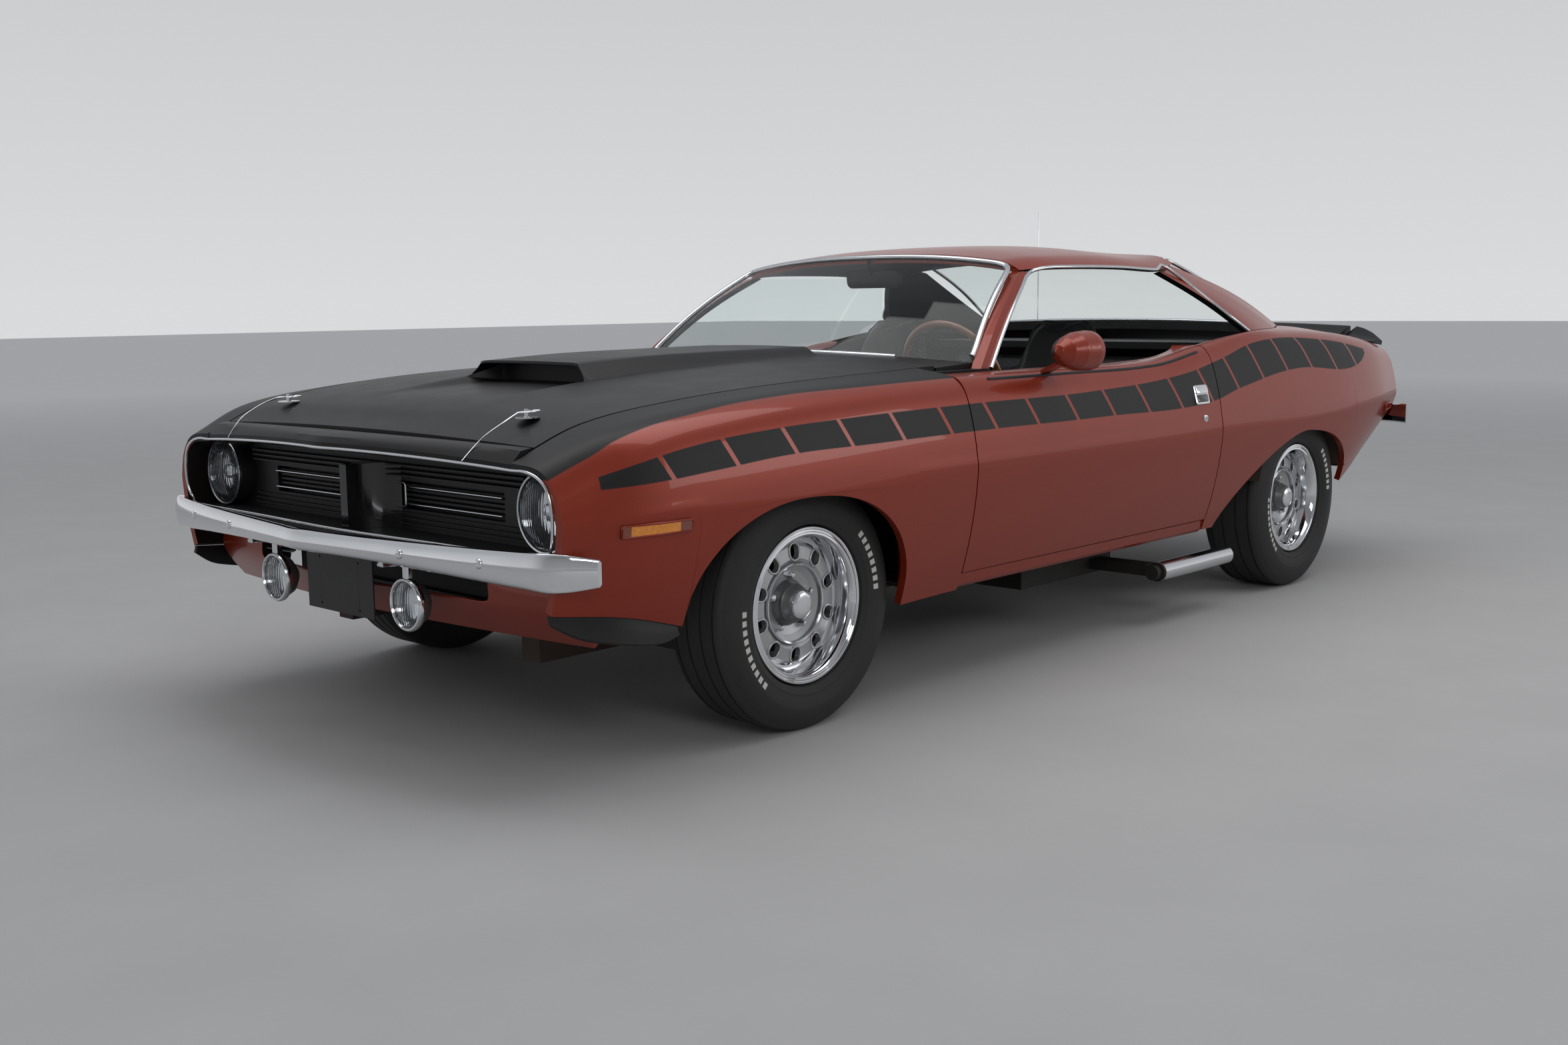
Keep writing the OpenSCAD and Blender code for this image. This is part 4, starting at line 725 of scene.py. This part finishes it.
def wheel_trim(w, slots=10, slot_r=0.136):
    """Stepped ring, centre ring, cap and lips round the slots."""
    c, s, hw, tag = [w.centre], w.side, w.width * RIM_HALF, "_" + w.tag
    f = hw * DISC_AT
    ring = [(0.2055, hw - 0.002), (0.2058, hw + 0.001), (0.2035, hw + 0.0045), (0.1985, hw + 0.005),
            (0.1965, hw + 0.0032), (0.1920, hw + 0.0042), (0.1900, hw + 0.0024), (0.1850, hw + 0.0032),
            (0.1810, hw - 0.001), (0.1770, hw - 0.012), (0.1725, hw - 0.024)]
    edge = [(0.1070, f + 0.014), (0.1065, f + 0.019), (0.1040, f + 0.0205), (0.1010, f + 0.018),
            (0.1000, f + 0.010)]
    cone = [(0.052, f + 0.006), (0.0515, f + 0.013), (0.0475, f + 0.017), (0.0435, f + 0.030),
            (0.039, f + 0.036), (0.0375, f + 0.037)]
    nose = [(0.0375, f + 0.0365), (0.0365, f + 0.042), (0.030, f + 0.0465), (0.022, f + 0.048),
            (0.0005, f + 0.0485)]
    turned("trim_ring" + tag, skin(ring, 0.0014), c, "y", "chrome", w.body, s, 96)
    turned("centre_ring" + tag, skin(edge, 0.002), c, "y", "bright", w.body, s)
    turned("cap_cone" + tag, skin(cone, 0.002), c, "y", "cap_grey", w.body, s)
    turned("cap_nose" + tag, skin(nose, 0.002), c, "y", "chrome", w.body, s)
    lips = []
    for i in range(slots):
        a = 2 * math.pi * (i + 0.5) / slots
        u, v = Vector((math.cos(a), 0, math.sin(a))), Vector((-math.sin(a), 0, math.cos(a)))
        lip = [w.centre + u * (slot_r + p) + v * q + Vector((0, s * (f + 0.0142 - 0.12 * p), 0))
               for p, q in stadium(0.0225, 0.0185, 0.0183)]
        lips.append((lip, True))
    tube("slot_lips" + tag, lips, 0.0030, "wheel_silver", w.body, resolution=2)


def tyre_blocks(w, low=0.244, high=0.260, half_angle=0.028, pitch=0.092):
    """Plain raised white blocks on the outer side, in two arcs of (middle angle, count)."""
    bm, h = bmesh.new(), w.width / 2
    # Radius, side of the block and share of the half width where the block lies on the tyre
    corners = ((low, -1, 0.978), (low, 1, 0.978), (high, 1, 0.9965), (high, -1, 0.9965))
    for middle, count in ((2.75, 8), (-0.35, 10)):
        for i in range(count):
            a = middle + (i - (count - 1) / 2) * pitch
            block = []
            for rad, e, share in corners:
                t = a + e * half_angle
                spot = Vector((rad * math.cos(t), w.side * (h * share - 0.0008), rad * math.sin(t)))
                block.append(w.centre + spot)
            prism(bm, block, (0, w.side * 0.0017, 0))
    solid("tyre_blocks_" + w.tag, bm, "white_rubber", w.body, smooth=False)


for w in WHEELS:
    dress("wheel_" + w.tag, wheel_paint(w))
    tyre(w)
    nuts(w)
    wheel_trim(w)
    tyre_blocks(w)

# Lamps: dark shell, bright bowl, clear lens and bright band. Profiles are (radius, reach forward)

HEAD = [at(2.1043, s * 0.730, 0.637) for _, s in SIDES]
bucket = [(0.0005, 0.0), (0.092, 0.0), (0.094, 0.040), (0.0935, 0.050), (0.0915, 0.0525), (0.0885, 0.051),
          (0.0885, 0.040), (0.040, 0.006), (0.0005, 0.004)]
bowl = [(0.0880, 0.0440), (0.082, 0.0335), (0.068, 0.0215), (0.045, 0.0125), (0.020, 0.0085),
        (0.0005, 0.008)]
dome = [(0.0875, 0.0475), (0.0860, 0.0505), (0.072, 0.0580), (0.052, 0.0645), (0.026, 0.0685),
        (0.0005, 0.0698)]
band = [(0.0885, 0.0485), (0.0895, 0.0535), (0.0930, 0.0545), (0.0945, 0.0510), (0.0940, 0.047)]
shield = [(0.022, 0.026), (0.021, 0.034), (0.014, 0.040), (0.0005, 0.0415)]
o = turned("lamp_buckets", bucket, HEAD, "x", "black_plastic")
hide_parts("headlamps")
turned("lamp_bowls", skin(bowl, 0.0012), HEAD, "x", "reflector")
turned("lamp_lenses", skin(dome, 0.0022), HEAD, "x", "lens")
turned("lamp_bands", skin(band, 0.0015), HEAD, "x", "bright")
turned("bulb_shields", skin(shield, 0.0012), HEAD, "x", "bright")

SPOTS = [at(2.186, s * 0.306, 0.389) for _, s in SIDES]
shell = [(0.0005, 0.0), (0.024, 0.004), (0.048, 0.022), (0.062, 0.052), (0.062, 0.0600), (0.0575, 0.0600),
         (0.0575, 0.050), (0.030, 0.018), (0.0005, 0.010)]
bowl = [(0.0570, 0.0530), (0.052, 0.0430), (0.042, 0.0320), (0.026, 0.0220), (0.010, 0.0180),
        (0.0005, 0.0175)]
dome = [(0.0565, 0.0570), (0.0555, 0.0610), (0.0440, 0.0655), (0.0260, 0.0685), (0.0005, 0.0700)]
band = [(0.0640, 0.050), (0.0665, 0.054), (0.0665, 0.061), (0.0630, 0.0660), (0.0585, 0.0665),
        (0.0565, 0.0630)]
o = turned("spot_shells", shell, SPOTS, "x", "cap_grey", slot="black_plastic")
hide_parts("driving_lamps")
turned("spot_bowls", skin(bowl, 0.0012), SPOTS, "x", "reflector")
turned("spot_lenses", skin(dome, 0.0022), SPOTS, "x", "lens")
turned("spot_bands", skin(band, 0.0018), SPOTS, "x", "chrome")
foot = ((0.042, -0.011, 0.050), (0.062, -0.011, 0.062), (0.062, -0.011, 0.0985), (0.128, -0.016, 0.1000),
        (0.128, -0.016, 0.1105), (0.040, -0.016, 0.1105))
bm = bmesh.new()
for c in SPOTS:
    prism(bm, [c + Vector(p) for p in foot], (0, 0.024, 0))
o = solid("spot_feet", bm, "chrome", smooth=False)
o.modifiers.new("edge", "BEVEL").width = 0.003

# Grille: bright bars and frames over the fins, dark slats, and the prow between the halves

BAR_X, SLAT_X, SLAT_HALF = 2.1085, 2.106, 0.62
bars, slats = [], bmesh.new()
for _, s in SIDES:
    for z in (0.650, 0.606):
        bars.append([at(BAR_X, s * 0.135, z), at(BAR_X, s * 0.517, z)])
    bars.append(([at(2.1075, s * (0.075 + a), 0.628 + b) for a, b in stadium(0.040, 0.031, 0.008)], True))
tube("grille_bars", bars, 0.0032, "bright")
# Slats above and below the bars: heights, reach forward, droop and thickness
for heights, reach, droop, thick in (((0.679, 0.692, 0.705), 0.018, 0.002, 0.004),
                                     ((0.556, 0.569, 0.582), 0.012, 0.0, 0.003)):
    for z in heights:
        back = [at(SLAT_X, y, z) for y in (-SLAT_HALF, SLAT_HALF)]
        front = [at(SLAT_X + reach, y, z - droop) for y in (-SLAT_HALF, SLAT_HALF)]
        prism(slats, [back[0], front[0], front[1], back[1]], (0, 0, thick))
solid("grille_slats", slats, "black_plastic", smooth=False)
plan = [(2.1045, 0.092), (2.112, 0.070), (2.128, 0.047), (2.155, 0.029), (2.190, 0.019), (2.2155, 0.0155)]
bm = bmesh.new()
prism(bm, [at(a, b, 0.5415) for a, b in plan + [(a, -b) for a, b in reversed(plan)]], (0, 0, 0.166))
solid("grille_prow", bm, "gloss_black", sharp=38)

# Bright line round the mouth: along the header's lower edge, outside the lamps and along the shelf

rows = {}
for v in NODES["nose"].data.vertices:
    rows.setdefault(round(v.co.y, 3), []).append(v.co)
HEADER_EDGE = []
for y in sorted(rows):
    reach = max(p.x for p in rows[y])
    low = min((p for p in rows[y] if p.x > reach - 0.03), key=lambda p: p.z)
    HEADER_EDGE.append(low + Vector((0.003, 0, 0.001)))
cheek = [(2.2165, 0.745, 0.737), (2.2165, 0.790, 0.726), (2.2165, 0.822, 0.700), (2.2165, 0.836, 0.655),
         (2.2150, 0.834, 0.600), (2.2090, 0.818, 0.562), (2.1980, 0.792, 0.5435)]
shelf = [(2.215, 0.40, 0.5435), (2.233, 0.0, 0.5435), (2.215, -0.40, 0.5435)]
loop = HEADER_EDGE + [at(*p) for p in cheek + shelf] + [at(p, -q, t) for p, q, t in reversed(cheek)]
tube("mouth_trim", [(smooth_line(loop, 4, True), True)], 0.0040, "bright")

# Bright frames round the front and rear glass. The windscreen's lower edge lies hidden behind the hood

for node, way in (("windscreen", Vector((0.55, 0, 0.8))), ("rear_window", Vector((-0.5, 0, 0.8)))):
    loop = [p - way * 0.003 for p in relax(outer(rim(node), way))]
    if node == "windscreen":
        sill = min(p.z for p in loop) + 0.012
        first = next(i for i in range(len(loop)) if loop[i - 1].z <= sill < loop[i].z)
        loop = [p for p in loop[first:] + loop[:first] if p.z > sill]
        tube("windscreen_trim", [loop], 0.0095, "bright")
    else:
        tube("rear_window_trim", [(loop, True)], 0.007, "bright")

# Sides: drip mouldings over the windows, and on the doors wiping strips, pulls and locks


def outline_points(node, s, key, step, score):
    """One point for each level of a node on one side: the one that scores highest."""
    best = {}
    for v in NODES[node].data.vertices:
        p = v.co + Vector((0, SHIFT, 0))
        if p.y * s > 0.3:
            k = round(key(p) / step)
            if k not in best or score(p) > score(best[k]):
                best[k] = p
    return [best[k] for k in sorted(best)]


def drip_moulding(name, s):
    """A bright rod up the windscreen pillar, along the roof and down the sail panel."""
    post = outline_points("screen_pillars", s, lambda p: p.z, 0.035, lambda p: abs(p.y) - 0.6 * p.x)
    rail = outline_points("roof", s, lambda p: -p.x, 0.05, lambda p: abs(p.y))
    sail = outline_points("sail_panels", s, lambda p: -p.z, 0.035, lambda p: p.x + 0.3 * abs(p.y))
    rail = [p for p in rail if p.x < post[-1].x - 0.03]
    sail = [p for p in sail if p.z < rail[-1].z - 0.015 and p.x < rail[-1].x + 0.02]
    rail = [p for p in rail if p.x > sail[0].x + 0.02]
    line = [p + Vector((0, -SHIFT + 0.003 * s, 0)) for p in post + rail + sail]
    tube("drip_moulding_" + name, [smooth_line(line, 3)], 0.0062, "bright")


def wiping_strip(name, s):
    """Black rubber along the top of the door's outer side."""
    door, rows = "door_" + name, {}
    for v in NODES[door].data.vertices:
        rows.setdefault(round(v.co.x / 0.012), []).append(v.co + Vector((0, SHIFT, 0)))
    edge = []
    for row in rows.values():
        top = max(q.z for q in row)
        if top > 0.84:
            edge.append(max((p for p in row if p.z > top - 0.02), key=lambda p: abs(p.y)))
    edge = [p for p in sorted(edge, key=lambda p: p.x) if abs(p.y) > 0.80]
    line = [p + Vector((0, -SHIFT - 0.004 * s, 0.002)) for p in edge[1:-1]]
    tube("wiping_strip_" + name, [line], 0.0055, "rubber", BODY_OF[door])


def door_pull(name, s):
    """Plate and flap of the pull, a gloss black plate below the flap as painted shade in its recess, and the
    lock below it.
    """
    door = "door_" + name
    body = BODY_OF[door]
    spot, n = hit(door, at(-0.488, 1.3 * s, 0.775), (0, -s, 0))
    fore = Vector((-s, 0, 0)) - n * Vector((-s, 0, 0)).dot(n)
    rise = n.cross(fore)
    # Outline, height on the door, and lower and upper face
    for part, outline, lift, low, high, key in (
            ("plate", stadium(0.044, 0.033, 0.010), 0.0, -0.002, 0.005, "chrome"),
            # Gloss black plate below the flap: painted shade standing in for the recess
            ("hollow_shade", stadium(0.037, 0.013, 0.006), -0.013, 0.004, 0.0056, "gloss_black"),
            ("flap", stadium(0.037, 0.011, 0.005), 0.014, 0.004, 0.0095, "chrome")):
        plate("pull_%s_%s" % (part, name), outline, spot + rise * lift, fore, rise, low, high, key, body)
    spot, _ = hit(door, at(-0.50, 1.3 * s, 0.695), (0, -s, 0))
    barrel = [(0.0005, 0.004), (0.008, 0.004), (0.0115, 0.0035), (0.013, 0.001), (0.013, -0.003),
              (0.0005, -0.003)]
    turned("lock_" + name, barrel, [spot], "y", "chrome", body, s, 32)


for name, s in SIDES:
    drip_moulding(name, s)
    wiping_strip(name, s)
    door_pull(name, s)

# Rear wheel houses: an arch of sheet over each tyre, with a wall on the trunk's side

HOUSE_R, SHEET, HOUSE_IN, HOUSE_OUT = 0.372, 0.003, 0.597, 0.905
fan = [(math.cos(math.radians(a)), math.sin(math.radians(a))) for a in range(15, 166, 5)]
under = [(HOUSE_R * c, HOUSE_R * v) for c, v in fan]
over = [((HOUSE_R + SHEET) * c, (HOUSE_R + SHEET) * v) for c, v in fan]
bm = bmesh.new()
for _, s in SIDES:
    for outline, y0, y1 in ((over + under[::-1], HOUSE_IN + SHEET, HOUSE_OUT),
                            (over, HOUSE_IN, HOUSE_IN + SHEET)):
        prism(bm, [at(REAR.x + a, s * y0, REAR.radius + b) for a, b in outline], (0, s * (y1 - y0), 0))
solid("wheel_houses", bm, "underbody", smooth=False)

# Trunk side wells: sheet from the floor pan's edge to the lower lip of each quarter, which rises to the tail

WELL_X, WELL_Z = (-1.695, -1.80, -1.90, -2.00, -2.10, -2.20, -2.265), 0.433
WELL_RISE, LIP_X, ARCH_X = 0.365, -1.80, -1.72
bm, down = bmesh.new(), Vector((0, 0, -SHEET))
for name, s in SIDES:
    loops = []
    for x in WELL_X:
        z = WELL_Z + WELL_RISE * max(0.0, LIP_X - x)
        lip, _ = hit("quarter_" + name, at(min(x, ARCH_X), 0.3 * s, z), (0, s, 0))
        a, b = at(x, HOUSE_IN * s, WELL_Z), Vector((x, lip.y + SHEET * s, z))
        loops.append((a, b, b + down, a + down))
    loft(bm, loops)
solid("trunk_wells", bm, "underbody", smooth=False)

# Bumper bolts

head = [(0.0005, 0.007), (0.006, 0.0062), (0.0105, 0.0035), (0.012, 0.0), (0.012, -0.003), (0.0005, -0.003)]
bm = bmesh.new()
for y in (-0.66, -0.40, 0.40, 0.66):
    spot, _ = hit("front_bumper", at(3.0, y, 0.531), (-1, 0, 0))
    lathe(bm, head, spot, "x", 24)
solid("bumper_bolts", bm, "chrome")

# Hood pins: wire clips, and their lanyards to the front edge of the hood

PIN_X, PIN_Y, WIRE_R = 2.046, 0.541, 0.0016
# Ahead of the pin, outwards and up
CLIP = ((0.030, 0.006, 0), (0.010, 0.0075, 0), (0, 0.0085, 0), (-0.012, 0.0075, 0), (-0.030, 0.010, 0.001),
        (-0.038, 0.0, 0.001), (-0.030, -0.009, 0.001), (-0.012, -0.0065, 0), (0, -0.0085, 0),
        (0.012, -0.0065, 0))
for name, s in SIDES:
    body = BODY_OF["hood_pins"]
    c = hit("hood_pins", at(PIN_X, PIN_Y * s, 1.5), (0, 0, -1))[0] + Vector((0, 0, -0.007))
    clip = [c + Vector((x, y * s, z)) for x, y, z in CLIP]
    tube("pin_clip_" + name, [smooth_line(clip, 5)], WIRE_R, "chrome", body)
    edge = min(HEADER_EDGE, key=lambda p: abs(p.y - (0.525 * s - SHIFT)))
    start, end = clip[0], edge + Vector((0.005, 0, 0.006))
    bends = [start.lerp(end, share) + Vector((0, 0.012 * s, rise))
             for share, rise in ((0.3, 0.012), (0.7, 0.018))]
    path = smooth_line([start, *bends, end], 6)
    o = tube("lanyard_" + name, [path], WIRE_R, "chrome", body)
    run = sum((b - a).length for a, b in zip(path, path[1:]))
    tuple(path[0])
    [tuple(p) for p in path]

# Inner mirror on its stalk, and the glass of the door mirror

glass_lo, glass_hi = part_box("windscreen")
m = Vector((glass_lo[0] - 0.01, -SHIFT, glass_hi[2] - 0.075))
plate("inner_mirror", stadium(0.115, 0.029, 0.022), m, (0, -1, 0), (0.12, 0, 1), -0.012, 0.012,
      "black_plastic")
stalk = [m + Vector((x, 0, z)) for x, z in ((0.008, 0.015), (0.03, 0.05), (0.032, 0.068))]
tube("mirror_stalk", [stalk], 0.006, "black_plastic")
face = [(0.0005, 0.0025), (0.046, 0.0022), (0.052, 0.0008), (0.052, -0.0020), (0.0005, -0.0020)]
turned("mirror_face", face, [at(0.305, 0.9842, 0.948)], "x", "reflector", BODY_OF["mirror_left"], -1)

# Bright frames and bars on the tail lamps, and frames round the side markers

TAIL_Y, TAIL_Z = 0.440, 0.745
lamp_lo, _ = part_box("tail_lamps")
frames = []
for _, s in SIDES:
    for half_y, half_z in ((0.250, 0.045), (0.1235, 0.044)):
        outline = stadium(half_y, half_z, 0.008)
        frames.append(([at(lamp_lo[0] - 0.001, s * TAIL_Y + a, TAIL_Z + b) for a, b in outline], True))
tube("tail_frames", frames, 0.0034, "bright")
tube("marker_frames", rim("side_markers", 50), 0.0026, "paint")

# Seats: padded covers swelled by cloth pressure over their plinths


def rounded(c, wide, thick, u, v, n=36, power=0.55):
    """A rounded flat section about a centre."""
    out = []
    for i in range(n):
        a = 2 * math.pi * i / n
        p, q = (math.copysign(abs(t) ** power, t) for t in (math.cos(a), math.sin(a)))
        out.append(c + u * wide * p + v * thick * q)
    return out


def swell(o, cap, flat):
    """Cloth pressure from inside, with each point's move capped; faces on the flat side stay."""
    start = [p.co.copy() for p in o.data.vertices]
    hold = [max(0.0, 1 - 2 * max(0.0, p.normal.dot(flat))) for p in o.data.vertices]
    m = o.modifiers.new("cover", "CLOTH")
    m.settings.use_pressure, m.settings.uniform_pressure_force = True, 4.0
    m.settings.effector_weights.gravity = 0
    m.point_cache.frame_start, m.point_cache.frame_end = 1, 20
    for f in range(1, 21):
        bpy.context.scene.frame_set(f)
    got = shown(o).to_mesh()
    ends = [p.co.copy() for p in got.vertices]
    o.modifiers.remove(m)
    bpy.context.scene.frame_set(1)
    for p, a, b, h in zip(o.data.vertices, start, ends, hold):
        d = (b - a) * h
        p.co = a + d * min(1.0, cap / max(d.length, 1e-9))


def pad(name, y, way, sections, cap, voxel, flat):
    """A padded piece through rounded sections of (x, z, half width, half depth), and its twin on the right.

    Depth runs along way, and the cover doesn't swell towards flat.
    """
    bm, across, way = bmesh.new(), Vector((0, 1, 0)), Vector(way).normalized()
    loft(bm, [rounded(at(x, y, z), wide, thick, across, way) for x, z, wide, thick in sections])
    o = solid(name + "_left", bm, "vinyl")
    m = o.modifiers.new("remesh", "REMESH")
    m.mode, m.voxel_size = "VOXEL", voxel
    o.modifiers.new("even", "SMOOTH").iterations = 8
    mesh = bpy.data.meshes.new_from_object(shown(o))
    o.modifiers.clear()
    o.data = mesh
    swell(o, cap, Vector(flat))
    twin = mesh.copy()
    for p in twin.vertices:
        p.co.y = -2 * SHIFT - p.co.y
    twin.flip_normals()
    other = add(name + "_right", twin)
    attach(other, "root")
    for part in (o, other):
        for f in part.data.polygons:
            f.use_smooth = True
        if not part.data.materials:
            part.data.materials.append(M["vinyl"])
        s = part.modifiers.new("smooth", "SUBSURF")
        s.levels = s.render_levels = 1
    return o, other


def piping(name, piece, points, radius=0.0035):
    """A sewn edge: a closed line drawn onto the padded piece and its twin."""
    for part, (side, s) in zip(piece, SIDES):
        tree = tree_of(part.data)
        line = [tree.find_nearest(at(x, y * s, z))[0] for x, y, z in points]
        tube(name + "_" + side, [(smooth_line(line, 3, True), True)], radius, "vinyl")


SEAT_Y, REAR_SEAT_Y = 0.385, 0.292
SEAT_SWELL, REAR_SWELL, SEAT_VOXEL, REAR_VOXEL = 0.022, 0.020, 0.008, 0.011
back = pad("seat_back", SEAT_Y, (0.96, 0, 0.25),
           ((-0.345, 0.435, 0.150, 0.030), (-0.350, 0.455, 0.195, 0.044), (-0.375, 0.56, 0.205, 0.046),
            (-0.408, 0.70, 0.205, 0.040), (-0.438, 0.83, 0.190, 0.034), (-0.462, 0.93, 0.160, 0.028),
            (-0.478, 0.995, 0.135, 0.024), (-0.487, 1.032, 0.100, 0.016)),
           SEAT_SWELL, SEAT_VOXEL, (-1, 0, -0.2))
seam = [(-0.335, 0.19, 0.46), (-0.35, 0.20, 0.56), (-0.385, 0.20, 0.70), (-0.415, 0.185, 0.83),
        (-0.445, 0.155, 0.94), (-0.465, 0.11, 1.02)]
piping("back_piping", back, [(x, SEAT_Y + y, z) for x, y, z in seam]
       + [(x, SEAT_Y - y, z) for x, y, z in reversed(seam)])
squab = pad("seat_cushion", SEAT_Y, (0, 0, 1),
            ((-0.305, 0.385, 0.165, 0.030), (-0.285, 0.388, 0.195, 0.040), (-0.16, 0.395, 0.205, 0.045),
             (-0.02, 0.408, 0.205, 0.047), (0.085, 0.418, 0.195, 0.042), (0.112, 0.418, 0.165, 0.026)),
            SEAT_SWELL, SEAT_VOXEL, (0, 0, -1))
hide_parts("front_seats")
# Plinth under each seat, and the brackets that carry its back, as (x, z) outlines
PLINTH = ((-0.32, 0.2787), (0.08, 0.2787), (0.115, 0.350), (-0.36, 0.350))
BRACKET = ((-0.39, 0.36), (-0.24, 0.36), (-0.30, 0.47), (-0.40, 0.56), (-0.425, 0.56))
bm = bmesh.new()
for _, s in SIDES:
    prism(bm, [at(x, s * SEAT_Y - 0.19, z) for x, z in PLINTH], (0, 0.38, 0))
    for e in (-1, 1):
        prism(bm, [at(x, s * SEAT_Y + e * 0.205 - 0.008, z) for x, z in BRACKET], (0, 0.016, 0))
o = solid("seat_plinths", bm, "black_plastic", smooth=False)
o.modifiers.new("edge", "BEVEL").width = 0.006
pad("rear_back", REAR_SEAT_Y, (0.90, 0, 0.42),
    ((-0.975, 0.590, 0.240, 0.034), (-0.985, 0.612, 0.262, 0.044), (-1.025, 0.72, 0.266, 0.044),
     (-1.058, 0.83, 0.262, 0.034), (-1.070, 0.878, 0.240, 0.020)), SEAT_SWELL, REAR_VOXEL, (-1, 0, 0))
bench = pad("rear_cushion", REAR_SEAT_Y, (-0.15, 0, 1),
            ((-0.875, 0.530, 0.235, 0.030), (-0.855, 0.530, 0.262, 0.040), (-0.70, 0.512, 0.266, 0.036),
             (-0.56, 0.498, 0.258, 0.026), (-0.542, 0.496, 0.235, 0.014)),
            REAR_SWELL, REAR_VOXEL, (0, 0, -1))
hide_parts("rear_seat")

# Floor: grey round the car and paler with distance, a painted gradient of light and shade

FLOOR_HALF, NEAR_R, FADE = 60, 3.5, 14.0
corners = [(x * FLOOR_HALF, y * FLOOR_HALF, 0) for x, y in ((-1, -1), (1, -1), (1, 1), (-1, 1))]
floor_mesh = bpy.data.meshes.new("floor")
floor_mesh.from_pydata(corners, [], [(0, 1, 2, 3)])
floor = add("floor", floor_mesh)
ground = Shade("pale_floor")
# Painted light and shade: the floor is darker round the car and pales with distance
far = ground.math("SUBTRACT", ground.length(ground.x, ground.y), NEAR_R)
far = ground.math("DIVIDE", far, FADE, clamp=True)
near = ground.mix(ground.noise(2.5, 4), (0.42, 0.42, 0.42), (0.48, 0.48, 0.48))
ground.set(color=ground.mix(far, near, (0.90, 0.90, 0.90)), rough=0.75, specular=0.2)
floor_mesh.materials.append(ground.m)

# Light


def lamp(name, place, aim, size, power):
    """A soft rectangular lamp that looks at a point."""
    d = bpy.data.lights.new(name, "AREA")
    d.shape, d.size, d.size_y, d.energy = "RECTANGLE", size[0], size[1], power
    o = add(name, d)
    o.location = place
    o.rotation_euler = (Vector(aim) - Vector(place)).to_track_quat("-Z", "Y").to_euler()


lamp("overhead", (0.3, 0.2, 5.2), (0, 0, 0), (8, 3.2), 150)
lamp("key", (5.5, 6.5, 4.0), (0.4, 0, 0.6), (4, 2.0), 100)
lamp("fill", (-4.5, 7.0, 3.0), (-0.4, 0, 0.6), (4, 2.0), 60)


def studio(low, high, high_at, dim_to, strength):
    """A room that changes with height, and is darker on the side that the photograph was taken from."""
    world = bpy.data.worlds.new("studio")
    bpy.context.scene.world = world
    world.use_nodes = True
    t = world.node_tree
    way = t.nodes.new("ShaderNodeSeparateXYZ")
    t.links.new(t.nodes.new("ShaderNodeTexCoord").outputs["Generated"], way.inputs[0])
    ramp = t.nodes.new("ShaderNodeValToRGB")
    t.links.new(way.outputs[2], ramp.inputs[0])
    ramp.color_ramp.elements[0].color = (*low, 1)
    ramp.color_ramp.elements[1].color = (*high, 1)
    ramp.color_ramp.elements[1].position = high_at
    towards = t.nodes.new("ShaderNodeMath")
    towards.operation = "ADD"
    t.links.new(way.outputs[0], towards.inputs[0])
    t.links.new(way.outputs[1], towards.inputs[1])
    shade = t.nodes.new("ShaderNodeMapRange")
    t.links.new(towards.outputs[0], shade.inputs["Value"])
    for key, value in (("From Min", 0.1), ("From Max", 1.0), ("To Min", 1.0), ("To Max", dim_to)):
        shade.inputs[key].default_value = value
    dim = t.nodes.new("ShaderNodeMix")
    dim.data_type, dim.blend_type = "RGBA", "MULTIPLY"
    dim.inputs[0].default_value = 1.0
    t.links.new(ramp.outputs[0], dim.inputs[6])
    t.links.new(shade.outputs[0], dim.inputs[7])
    sky = t.nodes["Background"]
    t.links.new(dim.outputs[2], sky.inputs[0])
    sky.inputs[1].default_value = strength


studio((0.66, 0.67, 0.68), (0.40, 0.41, 0.43), high_at=0.5, dim_to=0.42, strength=1.05)
bpy.context.scene.view_settings.view_transform = "Standard"
